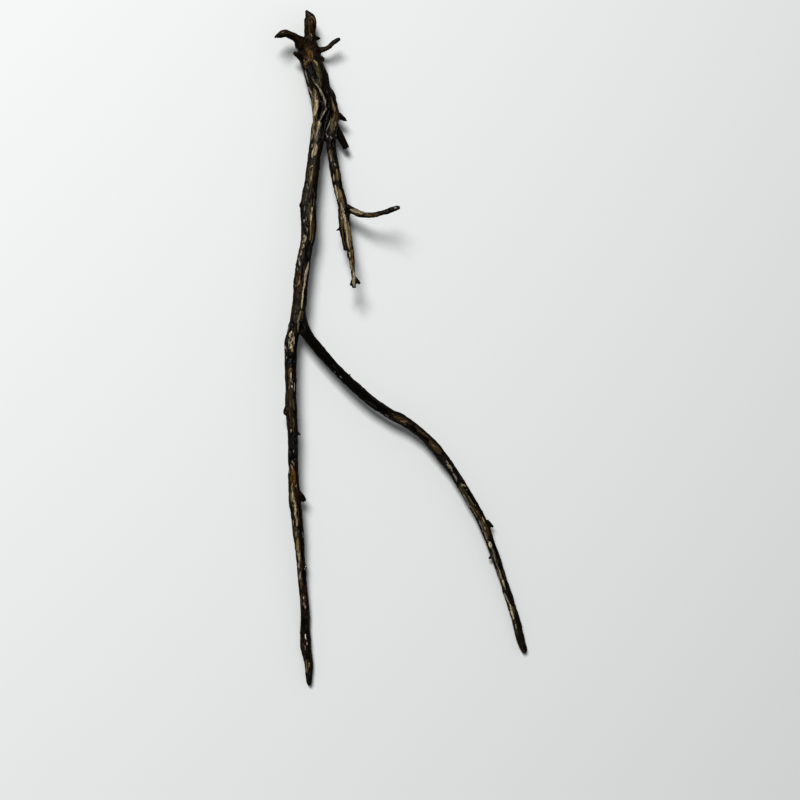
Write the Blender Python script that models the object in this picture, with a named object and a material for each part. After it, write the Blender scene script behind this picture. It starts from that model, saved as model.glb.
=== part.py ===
# A spiderwood root: one long piece of dark, twisted wood that grew as one and forks into two legs.
# It lies on three low points: the underside of its crown and the tips of both legs.
# +Y runs along the root to the crown, +Z is up, and the origin is under the middle of its box.

import math

import bmesh
import bpy
from mathutils import Vector, noise

# Units
MM = 0.001

# Places where the root was measured, as (x, y, height of the axis, radius) in millimetres.
# Each list follows one limb from its thick end, or from its root, to its tip.
TRUNK = [
    (-82, 241, 10, 6), (-81, 234, 8, 8.5), (-79, 224, 10, 8), (-76, 213, 12.5, 8.5),
    (-74, 202, 14.5, 8), (-73, 192, 15.5, 7.5), (-74, 182, 16, 7), (-77.5, 170, 17, 6),
    (-80, 156, 17, 5.5), (-82.5, 136, 17, 5.2), (-85.5, 113, 17, 5.7), (-86.5, 94, 17, 5.3),
    (-89, 72, 17, 5), (-91.5, 54, 16.5, 5.1), (-92.5, 36, 16.5, 5.3), (-95.5, 22, 16.5, 5.3),
    (-99, 10, 17, 5), (-100.5, -4, 17.5, 4.6), (-100.5, -38, 18, 4.3), (-98.5, -70, 18, 3.9),
    (-97.5, -95, 16.5, 3.7), (-95.5, -114, 15, 4), (-92.5, -136, 13, 3.8), (-89, -159, 10, 3.7),
    (-87, -180, 8, 3.4), (-84, -201, 6, 3.6), (-83, -220, 4.5, 3.6), (-82, -235, 3.6, 4),
    (-80, -247, 3.5, 3.5), (-80, -256, 4.2, 2.7), (-80, -262, 4.6, 1.9), (-80, -264.5, 4.8, 0.7),
]
RIGHT_LEG = [
    (-92.5, 36, 16, 3.7), (-90.5, 23, 16, 4.6), (-86, 11.5, 16.5, 4.5), (-78, 0.5, 17, 4),
    (-65, -13, 17, 3.8), (-50, -27, 17, 3.9), (-32.5, -41, 16.5, 3.9),
    (-16, -50, 16, 4.3), (-3.5, -56, 15, 4.2), (11, -66, 14.5, 3.8), (27.5, -80.5, 13.5, 3.7),
    (43.5, -99, 12, 3.6), (58, -120, 11, 3.6), (71, -140, 9, 3.7), (80.5, -159.5, 8, 3.5),
    (90.5, -181.5, 6, 3.5), (99.5, -204, 4.5, 3.6), (106, -222, 3.7, 3.9), (111, -239, 3.5, 3.7),
    (114, -249, 4.3, 2.9), (115, -252, 4.6, 1.2),
]
SIDE_BRANCH = [
    (-71, 207, 14, 3.6), (-67, 198, 14.5, 4.6), (-64.5, 189, 15.5, 5.2), (-64.5, 180, 16, 4.6),
    (-66, 169, 17, 3.9), (-66, 157, 17, 3.6), (-63.5, 144, 16.5, 3.6), (-61, 131, 16, 3.6),
    (-57.5, 118, 16.5, 3.5), (-55, 108, 17.5, 3.3), (-54, 97, 19, 2.7), (-53, 86, 21, 2.4),
    (-52, 75, 23.5, 2.1), (-51.5, 65, 25.5, 1.7), (-51.5, 56, 28, 1.6), (-52, 48.5, 29.5, 1.2),
]
SIDE_TWIG = [
    (-56, 114, 17, 2.6), (-50, 110.5, 19, 2.5), (-44, 107.5, 22, 2.3), (-37.5, 105.5, 26, 2),
    (-31, 106.5, 31, 1.9), (-24.5, 109, 36, 1.8), (-20.5, 111, 40, 1.9), (-18.5, 111.5, 42, 1.2),
]
TOP_LOBE = [
    (-81.5, 235, 9.5, 6.4), (-81.5, 245, 11, 4.6), (-82.5, 254, 13, 4.1), (-84.5, 260, 14, 2.9),
    (-86.5, 264.5, 15, 0.8),
]
LEFT_TWIG = [
    (-85.5, 237.5, 11, 5.2), (-92.5, 240.5, 14, 3.6), (-100, 242.5, 17, 2.5), (-107, 243, 20, 2.6),
    (-112, 241, 22, 1.8), (-116, 238.5, 23, 0.6),
]
RIGHT_TWIG = [
    (-79, 233, 10, 3.4), (-72.5, 235, 11.5, 2.3), (-68, 237.5, 13, 1.9), (-64.5, 241, 15, 1.9),
    (-61.5, 243.5, 17, 1.6), (-58.5, 244.5, 18, 1),
]
STUB = [(-65.5, 184, 12.5, 3.8), (-59, 173.5, 10.5, 3), (-54, 166.5, 9.5, 2.8), (-50, 160, 9, 2.4)]
SPLIT_STRAND = [
    (-58, 114, 17.5, 1.8), (-58.5, 103.5, 18.5, 1.7), (-58, 93, 19.5, 1.6), (-57, 85, 20, 1.3),
    (-56.5, 78.5, 21, 0.9),
]

# Each limb: its places, sides of a ring, strands that show round it, their depth as a share of
# the radius, and the turns that they make in a metre
LIMBS = [
    (TRUNK, 16, 4, 0.24, 2.2),
    (RIGHT_LEG, 12, 3, 0.16, -1.6),
    (SIDE_BRANCH, 10, 2, 0.16, 2.5),
    (SIDE_TWIG, 8, 2, 0.12, 3.0),
    (TOP_LOBE, 12, 3, 0.20, 4.0),
    (LEFT_TWIG, 10, 2, 0.16, 5.0),
    (RIGHT_TWIG, 8, 2, 0.12, 5.0),
    (STUB, 8, 2, 0.12, 4.0),
    (SPLIT_STRAND, 6, 0, 0, 0),
]

# Spurs, thorns and buds: short tapers with the same four values at each place
SPURS = [
    [(-86.5, 227, 12, 2.8), (-93, 228, 14, 1.8), (-97.5, 230.5, 16, 1)],
    [(-78, 229, 9.5, 4), (-72, 229, 10, 2.8), (-68.5, 228, 10, 1.3)],
    [(-80, 246, 11.5, 2.4), (-74, 245.5, 12, 0.6)],
    [(-62, 185.5, 14, 3), (-56.5, 184, 13.5, 1.9), (-51, 182, 13, 0.5)],
    [(-58.5, 95.5, 19.5, 1.3), (-63, 93, 20, 0.5)],
    [(-72, 178, 16, 5), (-70, 170, 16.5, 3.6), (-70.5, 163, 17, 1.6)],
    [(-51.5, 56, 28, 1.3), (-47.5, 51.5, 29.5, 0.8)],
    [(-52, 54.5, 28, 1.1), (-55.5, 50, 30, 0.5)],
    [(-101, -48, 18, 3.2), (-107, -50.5, 18.5, 1.4)],
    [(-98, -62, 18, 1.8), (-94.5, -64, 18, 1), (-92, -66.5, 18, 0.5)],
    [(-95.5, -106, 16, 3.2), (-90.5, -112, 15.5, 2.5), (-87.5, -118, 15, 1.7)],
    [(-88, -168, 9.5, 2.2), (-84, -170.5, 10, 1)],
    [(71, -136.5, 9.5, 2.4), (77, -140, 10, 1.6), (82, -144.5, 10, 0.5)],
    [(83.5, -168, 7.5, 2.6), (78.5, -170.5, 8, 1.1)],
    [(-55, -23, 17.5, 1), (-50, -18.5, 18, 0.5)],
]
SPUR_SIDES = 6

# Knots: the middle of each swelling, how far it reaches and how much it raises the surface
KNOTS = [
    ((-103, 6, 18), 11, 1.1), ((-104, 20, 16), 6, 0.8), ((-91, 113, 18), 8, 0.7),
    ((-77, 160, 17), 9, 0.5), ((-66, 200, 16), 10, 0.9), ((-54, 74, 24), 5, 0.9),
    ((-61, 183, 17), 7, 0.8), ((-4, -49, 16), 7, 0.8), ((33, -89, 12), 6, 0.8),
    ((53, -112, 14), 6, 0.6), ((-85, -201, 8), 5, 0.5), ((101, -204, 6), 6, 0.5),
    ((-84, 250, 13), 6, 0.6), ((-98, -97, 20), 8, 0.5),
]

# Surface: the distance between rings on thick and on thin limbs, uneven growth along every limb,
# and how narrow the grooves are and how far from a limb's ends they fade
RING_STEP = 3.7
THIN_RING_STEP = 2.0
THIN_LIMB_SIDES = 8
GROWTH_LENGTH = 14
GROWTH_SHARE = 0.07
GROOVE_SHARPNESS = 0.6
FADE_LENGTH = 4

# Names, merge distances and the plain material
PART_NAME = "spiderwood_root"
WELD = 0.02 * MM
PLANE_SNAP = 0.001 * MM
WOOD_COLOUR = (0.055, 0.034, 0.022, 1)
WOOD_ROUGHNESS = 0.5


def clear_scene():
    for old in list(bpy.data.objects):
        bpy.data.objects.remove(old, do_unlink=True)


def new_collection(name):
    collection = bpy.data.collections.new(name)
    bpy.context.scene.collection.children.link(collection)
    return collection


def through(values, share):
    """The smooth curve through four values, between the second and the third."""
    before, start, end, after = values
    pull_in = (end - before) / 2
    pull_out = (after - start) / 2
    rise = end - start
    return start + share * (pull_in + share * (3 * rise - 2 * pull_in - pull_out
                                               + share * (pull_in + pull_out - 2 * rise)))


def smooth_path(places, step):
    """Rings along a limb, as (point, radius), on the smooth curve through its places."""
    rows = [places[0]] + list(places) + [places[-1]]
    rings = []
    for index in range(1, len(rows) - 2):
        four = rows[index - 1:index + 3]
        span = math.dist(four[1][:3], four[2][:3])
        count = max(1, round(span / step))
        for part in range(count):
            values = [through(column, part / count) for column in zip(*four)]
            rings.append((Vector(values[:3]), values[3]))
    rings.append((Vector(places[-1][:3]), places[-1][3]))
    return rings


def turn_at(distance, turns_per_metre):
    return 2 * math.pi * turns_per_metre * distance * MM


def limb_curve(name, rings, sides, turns_per_metre):
    """A tube along the rings, with filled ends, whose sides turn with the strands."""
    curve = bpy.data.curves.new(name, "CURVE")
    curve.dimensions = "3D"
    curve.twist_mode = "Z_UP"
    curve.bevel_depth = MM
    curve.bevel_resolution = (sides - 4) // 2
    curve.use_fill_caps = True
    spline = curve.splines.new("POLY")
    spline.points.add(len(rings) - 1)
    distance = 0
    last = rings[0][0]
    for spline_point, (point, radius) in zip(spline.points, rings):
        distance += (point - last).length
        last = point
        spline_point.co = (*(point * MM), 1)
        spline_point.radius = radius
        spline_point.tilt = turn_at(distance, turns_per_metre)
    tube = bpy.data.objects.new(name, curve)
    bpy.context.scene.collection.objects.link(tube)
    return tube


def to_mesh(tube):
    """The tube as a mesh object, its loose caps welded on."""
    graph = bpy.context.evaluated_depsgraph_get()
    mesh = bpy.data.meshes.new_from_object(tube.evaluated_get(graph))
    solid = bpy.data.objects.new(tube.name, mesh)
    solid.matrix_world = tube.matrix_world
    bpy.data.objects.remove(tube, do_unlink=True)
    bm = bmesh.new()
    bm.from_mesh(mesh)
    bmesh.ops.remove_doubles(bm, verts=bm.verts, dist=WELD)
    bmesh.ops.recalc_face_normals(bm, faces=bm.faces)
    bm.to_mesh(mesh)
    bm.free()
    return solid


def nearest_on_path(rings, point):
    """The nearest point of the axis, its direction, the distance to it and the whole length."""
    best = None
    distance = 0
    for (start, _), (end, _) in zip(rings, rings[1:]):
        along = end - start
        length = along.length
        share = min(1, max(0, (point - start).dot(along) / length ** 2))
        middle = start + along * share
        gap = (point - middle).length
        if best is None or gap < best[0]:
            best = (gap, middle, along / length, distance + share * length)
        distance += length
    return *best[1:], distance


def strand_relief(angle, strands, depth):
    """Round strands at the full radius, with narrow grooves between them."""
    if not strands:
        return 0
    return depth * (abs(math.cos(strands * angle / 2)) ** GROOVE_SHARPNESS - 1)


def add_relief(solid, rings, strands, depth, turns_per_metre):
    """Strands that fade at both ends, uneven growth and knots, as moves away from the axis."""
    for vertex in solid.data.vertices:
        point = vertex.co / MM
        middle, along, distance, length = nearest_on_path(rings, point)
        fade = min(1, distance / FADE_LENGTH, (length - distance) / FADE_LENGTH)
        outward = point - middle
        side = along.cross(Vector((0, 0, 1))).normalized()
        angle = math.atan2(outward.dot(side), outward.dot(side.cross(along)))
        angle -= turn_at(distance, turns_per_metre)
        share = strand_relief(angle, strands, depth) * fade
        share += GROWTH_SHARE * noise.noise(point / GROWTH_LENGTH)
        move = outward * share
        for place, reach, rise in KNOTS:
            gap = (point - Vector(place)).length
            move += outward.normalized() * rise * math.exp(-(2 * gap / reach) ** 2)
        vertex.co = (point + move) * MM


def make_limb(name, places, sides, strands, depth, turns_per_metre, step):
    rings = smooth_path(places, step)
    solid = to_mesh(limb_curve(name, rings, sides, turns_per_metre))
    add_relief(solid, rings, strands, depth, turns_per_metre)
    return solid


def make_limbs():
    limbs = []
    for index, (places, sides, strands, depth, turns) in enumerate(LIMBS):
        step = THIN_RING_STEP if sides <= THIN_LIMB_SIDES else RING_STEP
        limbs.append(make_limb(f"limb_{index}", places, sides, strands, depth, turns, step))
    for index, places in enumerate(SPURS):
        limbs.append(make_limb(f"spur_{index}", places, SPUR_SIDES, 0, 0, 0, THIN_RING_STEP))
    return limbs


def join_limbs(root, others, collection):
    """One Boolean union of the trunk with everything that grows from it."""
    for limb in others:
        collection.objects.link(limb)
    union = root.modifiers.new("union", "BOOLEAN")
    union.operation = "UNION"
    union.operand_type = "COLLECTION"
    union.collection = collection
    union.solver = "EXACT"
    graph = bpy.context.evaluated_depsgraph_get()
    joined = bpy.data.meshes.new_from_object(root.evaluated_get(graph))
    root.modifiers.clear()
    root.data = joined
    for limb in others:
        bpy.data.objects.remove(limb, do_unlink=True)
    bpy.data.collections.remove(collection)


def flatten_low_points(mesh):
    """Trims the three low points at z = 0, so that the root lies on small flat spots."""
    bm = bmesh.new()
    bm.from_mesh(mesh)
    everything = bm.verts[:] + bm.edges[:] + bm.faces[:]
    cut = bmesh.ops.bisect_plane(bm, geom=everything, dist=PLANE_SNAP, plane_co=(0, 0, 0),
                                 plane_no=(0, 0, -1), clear_outer=True)
    rim = [item for item in cut["geom_cut"] if isinstance(item, bmesh.types.BMEdge)]
    bmesh.ops.contextual_create(bm, geom=rim)
    bm.to_mesh(mesh)
    bm.free()


def wood_material():
    material = bpy.data.materials.new("root_wood")
    material.use_nodes = True
    shader = material.node_tree.nodes["Principled BSDF"]
    shader.inputs["Base Color"].default_value = WOOD_COLOUR
    shader.inputs["Roughness"].default_value = WOOD_ROUGHNESS
    shader.inputs["Metallic"].default_value = 0
    return material


def main():
    clear_scene()
    part = new_collection(PART_NAME)
    limbs = make_limbs()
    root = limbs[0]
    root.name = PART_NAME
    part.objects.link(root)
    join_limbs(root, limbs[1:], new_collection("limbs"))
    flatten_low_points(root.data)
    root.data.name = PART_NAME
    root.data.materials.clear()
    root.data.materials.append(wood_material())
    root.data.shade_smooth()


main()
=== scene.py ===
import math
from functools import partial

import bpy
from mathutils import Euler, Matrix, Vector


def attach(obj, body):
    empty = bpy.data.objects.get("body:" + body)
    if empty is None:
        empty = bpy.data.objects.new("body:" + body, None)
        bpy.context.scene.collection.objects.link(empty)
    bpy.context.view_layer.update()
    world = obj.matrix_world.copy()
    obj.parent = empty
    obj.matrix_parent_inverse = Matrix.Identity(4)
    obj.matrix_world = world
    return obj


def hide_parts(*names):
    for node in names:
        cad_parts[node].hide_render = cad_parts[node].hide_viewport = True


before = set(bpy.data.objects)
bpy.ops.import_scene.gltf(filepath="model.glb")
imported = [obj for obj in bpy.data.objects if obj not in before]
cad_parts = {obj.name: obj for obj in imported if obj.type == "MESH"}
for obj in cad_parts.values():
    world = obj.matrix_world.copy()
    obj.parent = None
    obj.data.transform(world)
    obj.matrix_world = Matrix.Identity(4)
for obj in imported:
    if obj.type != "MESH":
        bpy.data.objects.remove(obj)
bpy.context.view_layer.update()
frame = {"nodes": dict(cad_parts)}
print("frame loaded:", ", ".join(frame["nodes"]))

mm = 0.001

# the kinds of node that are used most
mathNode = "ShaderNodeMath"
vectorNode = "ShaderNodeVectorMath"
combineNode = "ShaderNodeCombineXYZ"
rangeNode = "ShaderNodeMapRange"
noiseNode = "ShaderNodeTexNoise"
mixNode = "ShaderNodeMix"
storeNode = "GeometryNodeStoreNamedAttribute"
recallNode = "GeometryNodeInputNamedAttribute"
moveNode = "GeometryNodeSetPosition"

# a Mix node has sockets of one name for numbers, vectors and colours; these are its colours'
mixShare = 0
mixUnder = 6
mixOver = 7
mixResult = 2


# Helpers

def hexColour(text, alpha=1.0):
    # an sRGB hex value as the linear colour that Blender works in
    channels = [int(text[i:i + 2], 16) / 255 for i in (1, 3, 5)]
    linear = [c / 12.92 if c <= 0.04045 else ((c + 0.055) / 1.055) ** 2.4 for c in channels]
    return (*linear, alpha)


def addNode(tree, kind, inputs=(), out=0, **settings):
    # one node with its settings and links, giving back its output called out; inputs come in
    # order or by name or number, and each is a value or the socket that feeds it
    node = tree.nodes.new(kind)
    for name, value in settings.items():
        setattr(node, name, value)
    for name, value in inputs.items() if isinstance(inputs, dict) else enumerate(inputs):
        if isinstance(value, bpy.types.NodeSocket):
            tree.links.new(value, node.inputs[name])
        else:
            node.inputs[name].default_value = value
    return node.outputs[out]


def newTree(name, **inputs):
    # a Geometry Nodes tree with an input for each name, of the kind that the name is given; gives
    # back the tree, its inputs and what adds a node to it
    tree = bpy.data.node_groups.new(name, "GeometryNodeTree")
    tree.interface.new_socket("shape", in_out="OUTPUT", socket_type="NodeSocketGeometry")
    for label, kind in {"shape": "Geometry", **inputs, "wood": "Material"}.items():
        socketKind = "NodeSocketFloat" if kind == "Length" else "NodeSocket" + kind
        socket = tree.interface.new_socket(label, in_out="INPUT", socket_type=socketKind)
        if kind == "Length":
            socket.subtype = "DISTANCE"
    return tree, tree.nodes.new("NodeGroupInput").outputs, partial(addNode, tree)


def endTree(tree, start, shape):
    # every tree ends in real faces with the wood on them
    shape = addNode(tree, "GeometryNodeRealizeInstances", {"Geometry": shape})
    shape = addNode(tree, "GeometryNodeSetMaterial", {"Geometry": shape, "Material": start["wood"]})
    tree.links.new(shape, tree.nodes.new("NodeGroupOutput").inputs["shape"])
    return tree


def addTree(obj, tree, spec, **others):
    # the tree as a modifier, its inputs set before the first evaluation: from others as they
    # are, or from the spec's value of the same name, where a length is in mm
    modifier = obj.modifiers.new(tree.name, "NODES")
    modifier.node_group = tree
    for item in tree.interface.items_tree:
        if item.in_out == "INPUT" and item.name in others:
            modifier[item.identifier] = others[item.name]
        elif item.in_out == "INPUT" and item.name in spec:
            isLength = getattr(item, "subtype", "") == "DISTANCE"
            modifier[item.identifier] = spec[item.name] * mm if isLength else spec[item.name]


def bakeMesh(obj, name):
    # the modifiers' result as a plain mesh
    graph = bpy.context.evaluated_depsgraph_get()
    mesh = bpy.data.meshes.new_from_object(
        obj.evaluated_get(graph), preserve_all_data_layers=True, depsgraph=graph)
    mesh.name = name
    obj.modifiers.clear()
    return mesh


def showObject(name, data):
    obj = bpy.data.objects.new(name, data)
    bpy.context.scene.collection.objects.link(obj)
    return obj


def dropObject(obj):
    bpy.data.objects.remove(obj, do_unlink=True)


def guideObject(name, rows, values):
    # chains of edges through the places of each row, with a value at each point for every name
    # in values; one that the row's facts don't give is the place's fourth number
    points, edges, columns = [], [], {key: [] for key in values}
    for places, facts in rows:
        for index, place in enumerate(places):
            if index:
                edges.append((len(points) - 1, len(points)))
            points.append(Vector(place[:3]) * mm)
            for key in values:
                columns[key].append(facts[key] if key in facts else place[3] * mm)
    mesh = bpy.data.meshes.new(name)
    mesh.from_pydata(points, edges, [])
    for key, column in columns.items():
        mesh.attributes.new(key, "FLOAT", "POINT").data.foreach_set("value", column)
    return showObject(name, mesh)


# The limbs of the root

# Each place is (x, y, height of the axis, radius) in mm. A limb also says how many strands show
# round it, how deep the grooves between them are as a share of the radius, and its turns a metre.
rootSpec = {
    "limbs": {
        "trunk": (4, 0.16, 2.2, [
            (-82, 241, 10, 6), (-81.5, 234, 8, 8.5), (-79.8, 224, 10, 8.4), (-76.8, 213, 12.5, 9),
            (-74.8, 202, 14.5, 8.5), (-73.5, 192, 15.5, 7.9), (-74, 182, 16, 7), (-77.5, 170, 17, 6),
            (-80, 156, 17, 5.5), (-82.5, 136, 17, 5.2), (-85.5, 113, 17, 6), (-85.4, 94, 17, 6.1),
            (-86.3, 84.5, 17, 5.5), (-89, 72, 17, 5.5), (-91.5, 54, 16.5, 5.9), (-92.5, 36, 16.5, 5.6),
            (-95.5, 22, 16.5, 5.3), (-98.4, 10, 17, 4.6), (-100.3, -4, 17.5, 4.6),
            (-100.5, -38, 18, 4.4), (-98.8, -70, 18, 4.2), (-98, -95, 16.5, 4.1),
            (-96.3, -114, 15, 4.4), (-94, -130, 13.5, 4.5), (-91.3, -148, 11.5, 4.3),
            (-89.3, -164, 10, 3.8), (-87.3, -180, 8, 3.6), (-84.4, -201, 6, 3.6), (-83.4, -220, 4.5, 3.7),
            (-82.3, -235, 3.8, 4), (-80, -247, 3.5, 3.5), (-80, -256, 4.2, 2.7), (-80, -262, 4.6, 1.9),
            (-80, -264.5, 4.8, 0.7),
        ]),
        "rightLeg": (3, 0.14, -1.6, [
            (-92.5, 36, 16, 3.7), (-91, 22.2, 16, 4.9), (-86.7, 11.6, 16.5, 4.7), (-78, 1.7, 17, 4.2),
            (-64.8, -12.3, 17, 4.1), (-49.8, -26.3, 17, 4.1), (-32.5, -39.8, 16.5, 4.2),
            (-16, -50, 16, 4.3), (-3.5, -56, 15, 4.3), (12, -65.5, 14.5, 4.1), (28, -80, 13.5, 4.3),
            (43.8, -98.5, 12, 4), (58.6, -119.5, 11, 4), (71.5, -139.5, 9, 4.1), (80.7, -159.5, 8, 3.7),
            (90.3, -181.5, 6, 3.4), (99.2, -204, 4.5, 3.4), (105.8, -222, 3.7, 3.6),
            (110.8, -239, 3.5, 3.6), (114, -249, 4.3, 2.9), (115, -252, 4.6, 1.2),
        ]),
        "sideBranch": (2, 0.14, 2.5, [
            (-71, 207, 14, 3.6), (-67, 198, 14.5, 4.6), (-64.5, 189, 15.5, 5.2), (-64.5, 180, 16, 4.9),
            (-66, 169, 17, 4.3), (-66, 157, 17, 4), (-63.5, 144, 16.5, 4), (-61, 131, 16, 4),
            (-57.5, 118, 16.5, 3.9), (-55, 108, 17.5, 3.7), (-54, 97, 19, 3.1), (-53.1, 86, 21, 2.6),
            (-52.5, 75, 23.5, 2.4), (-52, 65, 25.5, 1.9), (-52, 56, 28, 1.7), (-52.3, 48, 29.5, 1.6),
        ]),
        "sideTwig": (2, 0.12, 3.0, [
            (-56, 113.6, 17, 3), (-50, 110, 19, 3), (-44, 107, 22, 2.8), (-37.5, 105.9, 26, 2.4),
            (-31, 107, 31, 2.2), (-24.5, 109.3, 36, 2.1), (-20.5, 110.9, 40, 2), (-18.5, 111.3, 42, 1.2),
        ]),
        "topLobe": (3, 0.16, 4.0, [
            (-81, 238, 9.5, 6.4), (-81.5, 244, 10.5, 5), (-82, 249, 12, 4.6), (-82.4, 253.5, 13, 5),
            (-82.8, 257, 13.5, 4.9), (-83.4, 259.5, 14.3, 4.2), (-84.9, 261.3, 14.8, 2.7),
            (-86, 263, 15, 1.6), (-86.6, 264.6, 15.2, 0.8),
        ]),
        "leftTwig": (2, 0.14, 5.0, [
            (-85, 239, 10.5, 5.2), (-91, 240.5, 13, 4.1), (-96.5, 242.5, 15, 3.2),
            (-101.5, 243, 17.5, 2.8), (-106, 243.3, 20, 3), (-110, 241.5, 21.3, 2.5),
            (-113.3, 239.7, 22.4, 1.5), (-116, 238.4, 23, 0.6),
        ]),
        "leftShoulder": (2, 0.14, 5.0, [
            (-84.5, 236.5, 9.5, 5), (-90, 238, 11.5, 4.4), (-92.8, 237.3, 12.5, 3.8),
        ]),
        "rightTwig": (2, 0.1, 5.0, [
            (-79, 235, 10, 3.6), (-74, 235, 11.4, 2.6), (-70, 236, 13, 2), (-67, 237.7, 14.4, 2),
            (-64.5, 240.6, 15.6, 1.9), (-61.7, 242.8, 17, 1.7), (-59.2, 244, 18, 1.3),
        ]),
        "stub": (2, 0.12, 4.0, [
            (-65.5, 184, 12.5, 3.8), (-59, 173.5, 10.5, 3.3), (-54, 166.5, 9.5, 3.2), (-50, 160, 9, 2.7),
        ]),
        "splitStrand": (0, 0, 0, [
            (-58.6, 114, 17.5, 1.9), (-59.1, 103.5, 18.5, 1.8), (-58.6, 93, 19.5, 1.6), (-57.2, 85, 20, 1.3),
            (-56.3, 77.8, 21, 1.2),
        ]),
    },
    # spurs, thorns and buds: short tapers without strands, with the same four numbers at a place
    "spurs": [
        [(-88.5, 227, 11, 2.8), (-92.2, 228.3, 13, 2), (-95.4, 229.5, 14.6, 1.7),
         (-97.3, 230.3, 15.6, 1.1)],
        [(-77, 228.5, 9.4, 4.4), (-72.5, 228.5, 9.8, 3), (-69.5, 228, 10.2, 1.5)],
        [(-80, 244, 11.5, 2.6), (-75.5, 244, 12, 1.4), (-73.5, 243.5, 12.3, 0.6)],
        [(-105.7, 244, 20, 1.8), (-107, 245.6, 20.6, 0.6)],
        [(-62, 185.5, 14, 3.2), (-56.5, 183.5, 13.5, 2.4), (-53, 181.7, 13.2, 1.4),
         (-51, 181, 13, 0.6)],
        [(-88, 112.4, 17, 3), (-91.2, 111.8, 17, 1.9), (-93, 111.4, 17, 0.7)],
        [(-58.5, 95.8, 19.5, 1.4), (-63.4, 93.2, 20, 0.6)],
        [(-72, 178, 16, 5), (-70, 170, 16.5, 3.6), (-70.5, 163, 17, 1.6)],
        [(-52.5, 75.5, 24, 1.9), (-54, 73.8, 25, 1.5), (-54.4, 71.5, 25.5, 0.8)],
        [(-52, 57, 28, 1.4), (-49, 53.4, 29, 1.4), (-47.5, 51.2, 29.5, 1.2)],
        [(-52.4, 55, 28, 1.3), (-56, 49.6, 30, 0.6)],
        [(-101, -45, 18, 3.6), (-103.3, -48, 18.2, 3.2), (-105.2, -51, 18.4, 2)],
        [(-98, -62.5, 18, 1.8), (-94.5, -64.8, 18, 1.1), (-92.2, -67, 18, 0.6)],
        [(-94, -112, 15.5, 3.2), (-89.8, -115.5, 15, 2.5), (-87.8, -118, 15, 1.8)],
        [(-88, -169, 9.5, 2.4), (-84, -170, 10, 1.2)],
        [(-84, -233.5, 4.5, 3.6), (-85.6, -236.2, 4.8, 1.9)],
        [(75, -140, 9.5, 2.8), (78.6, -142.6, 10, 1.7), (82, -144.8, 10, 0.5)],
        [(83.5, -168, 7.5, 2.6), (78.5, -170.5, 8, 1.1)],
        [(-55, -23, 17.5, 1), (-50, -18.5, 18, 0.5)],
    ],
    # knots: (x, y, height, reach, rise) in mm
    "knots": [
        (-103, 6, 18, 11, 1.1), (-104, 20, 16, 6, 0.8), (-91, 113, 18, 8, 0.7),
        (-77, 160, 17, 9, 0.5), (-66, 200, 16, 10, 0.9), (-54, 74, 24, 5, 0.9),
        (-61, 183, 17, 7, 0.8), (-4, -49, 16, 7, 0.8), (33, -89, 12, 6, 0.8),
        (53, -112, 14, 6, 0.6), (-85, -201, 8, 5, 0.5), (101, -204, 6, 6, 0.5),
        (-84, 250, 13, 6, 0.6), (-98, -97, 20, 8, 0.5),
    ],
    "ringStep": 0.8,          # mm between rings
    "ringSides": 48,
    "knotFall": 4.0,          # how steeply a knot falls off towards its reach
    "growthLength": 14,       # mm from one uneven swelling to the next
    "growthShare": 0.16,      # of the radius
    "grooveSharpness": 0.6,   # under 1 narrows the grooves and rounds the strands
    "fadeLength": 4,          # mm over which the grooves fade at a limb's ends
    "patternStep": 0.1,       # m along the grain patterns from one limb's stretch to the next's
    "spurPattern": 1.0,       # m to the first spur's stretch; the two are the patterns' fixed seed
    "skinGrid": 0.68,         # mm, the spacing of the finished skin's mesh
}


def limbGuides(spec):
    # the axes of the limbs and spurs, each with its own stretch of the noise patterns
    rows = []
    for index, (strands, depth, turns, places) in enumerate(spec["limbs"].values()):
        facts = {"strands": strands, "depth": depth, "turns": turns}
        rows.append((places, {**facts, "shift": index * spec["patternStep"]}))
    for index, places in enumerate(spec["spurs"]):
        facts = {"strands": 0, "depth": 0, "turns": 0}
        rows.append((places, {**facts, "shift": spec["spurPattern"] + index * spec["patternStep"]}))
    return guideObject("limbGuides", rows, ("thickness", "strands", "depth", "turns", "shift"))


def knotPoints(spec):
    rows = [([knot[:3]], {"reach": knot[3] * mm, "rise": knot[4] * mm}) for knot in spec["knots"]]
    return guideObject("knotPoints", rows, ("reach", "rise"))


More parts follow.
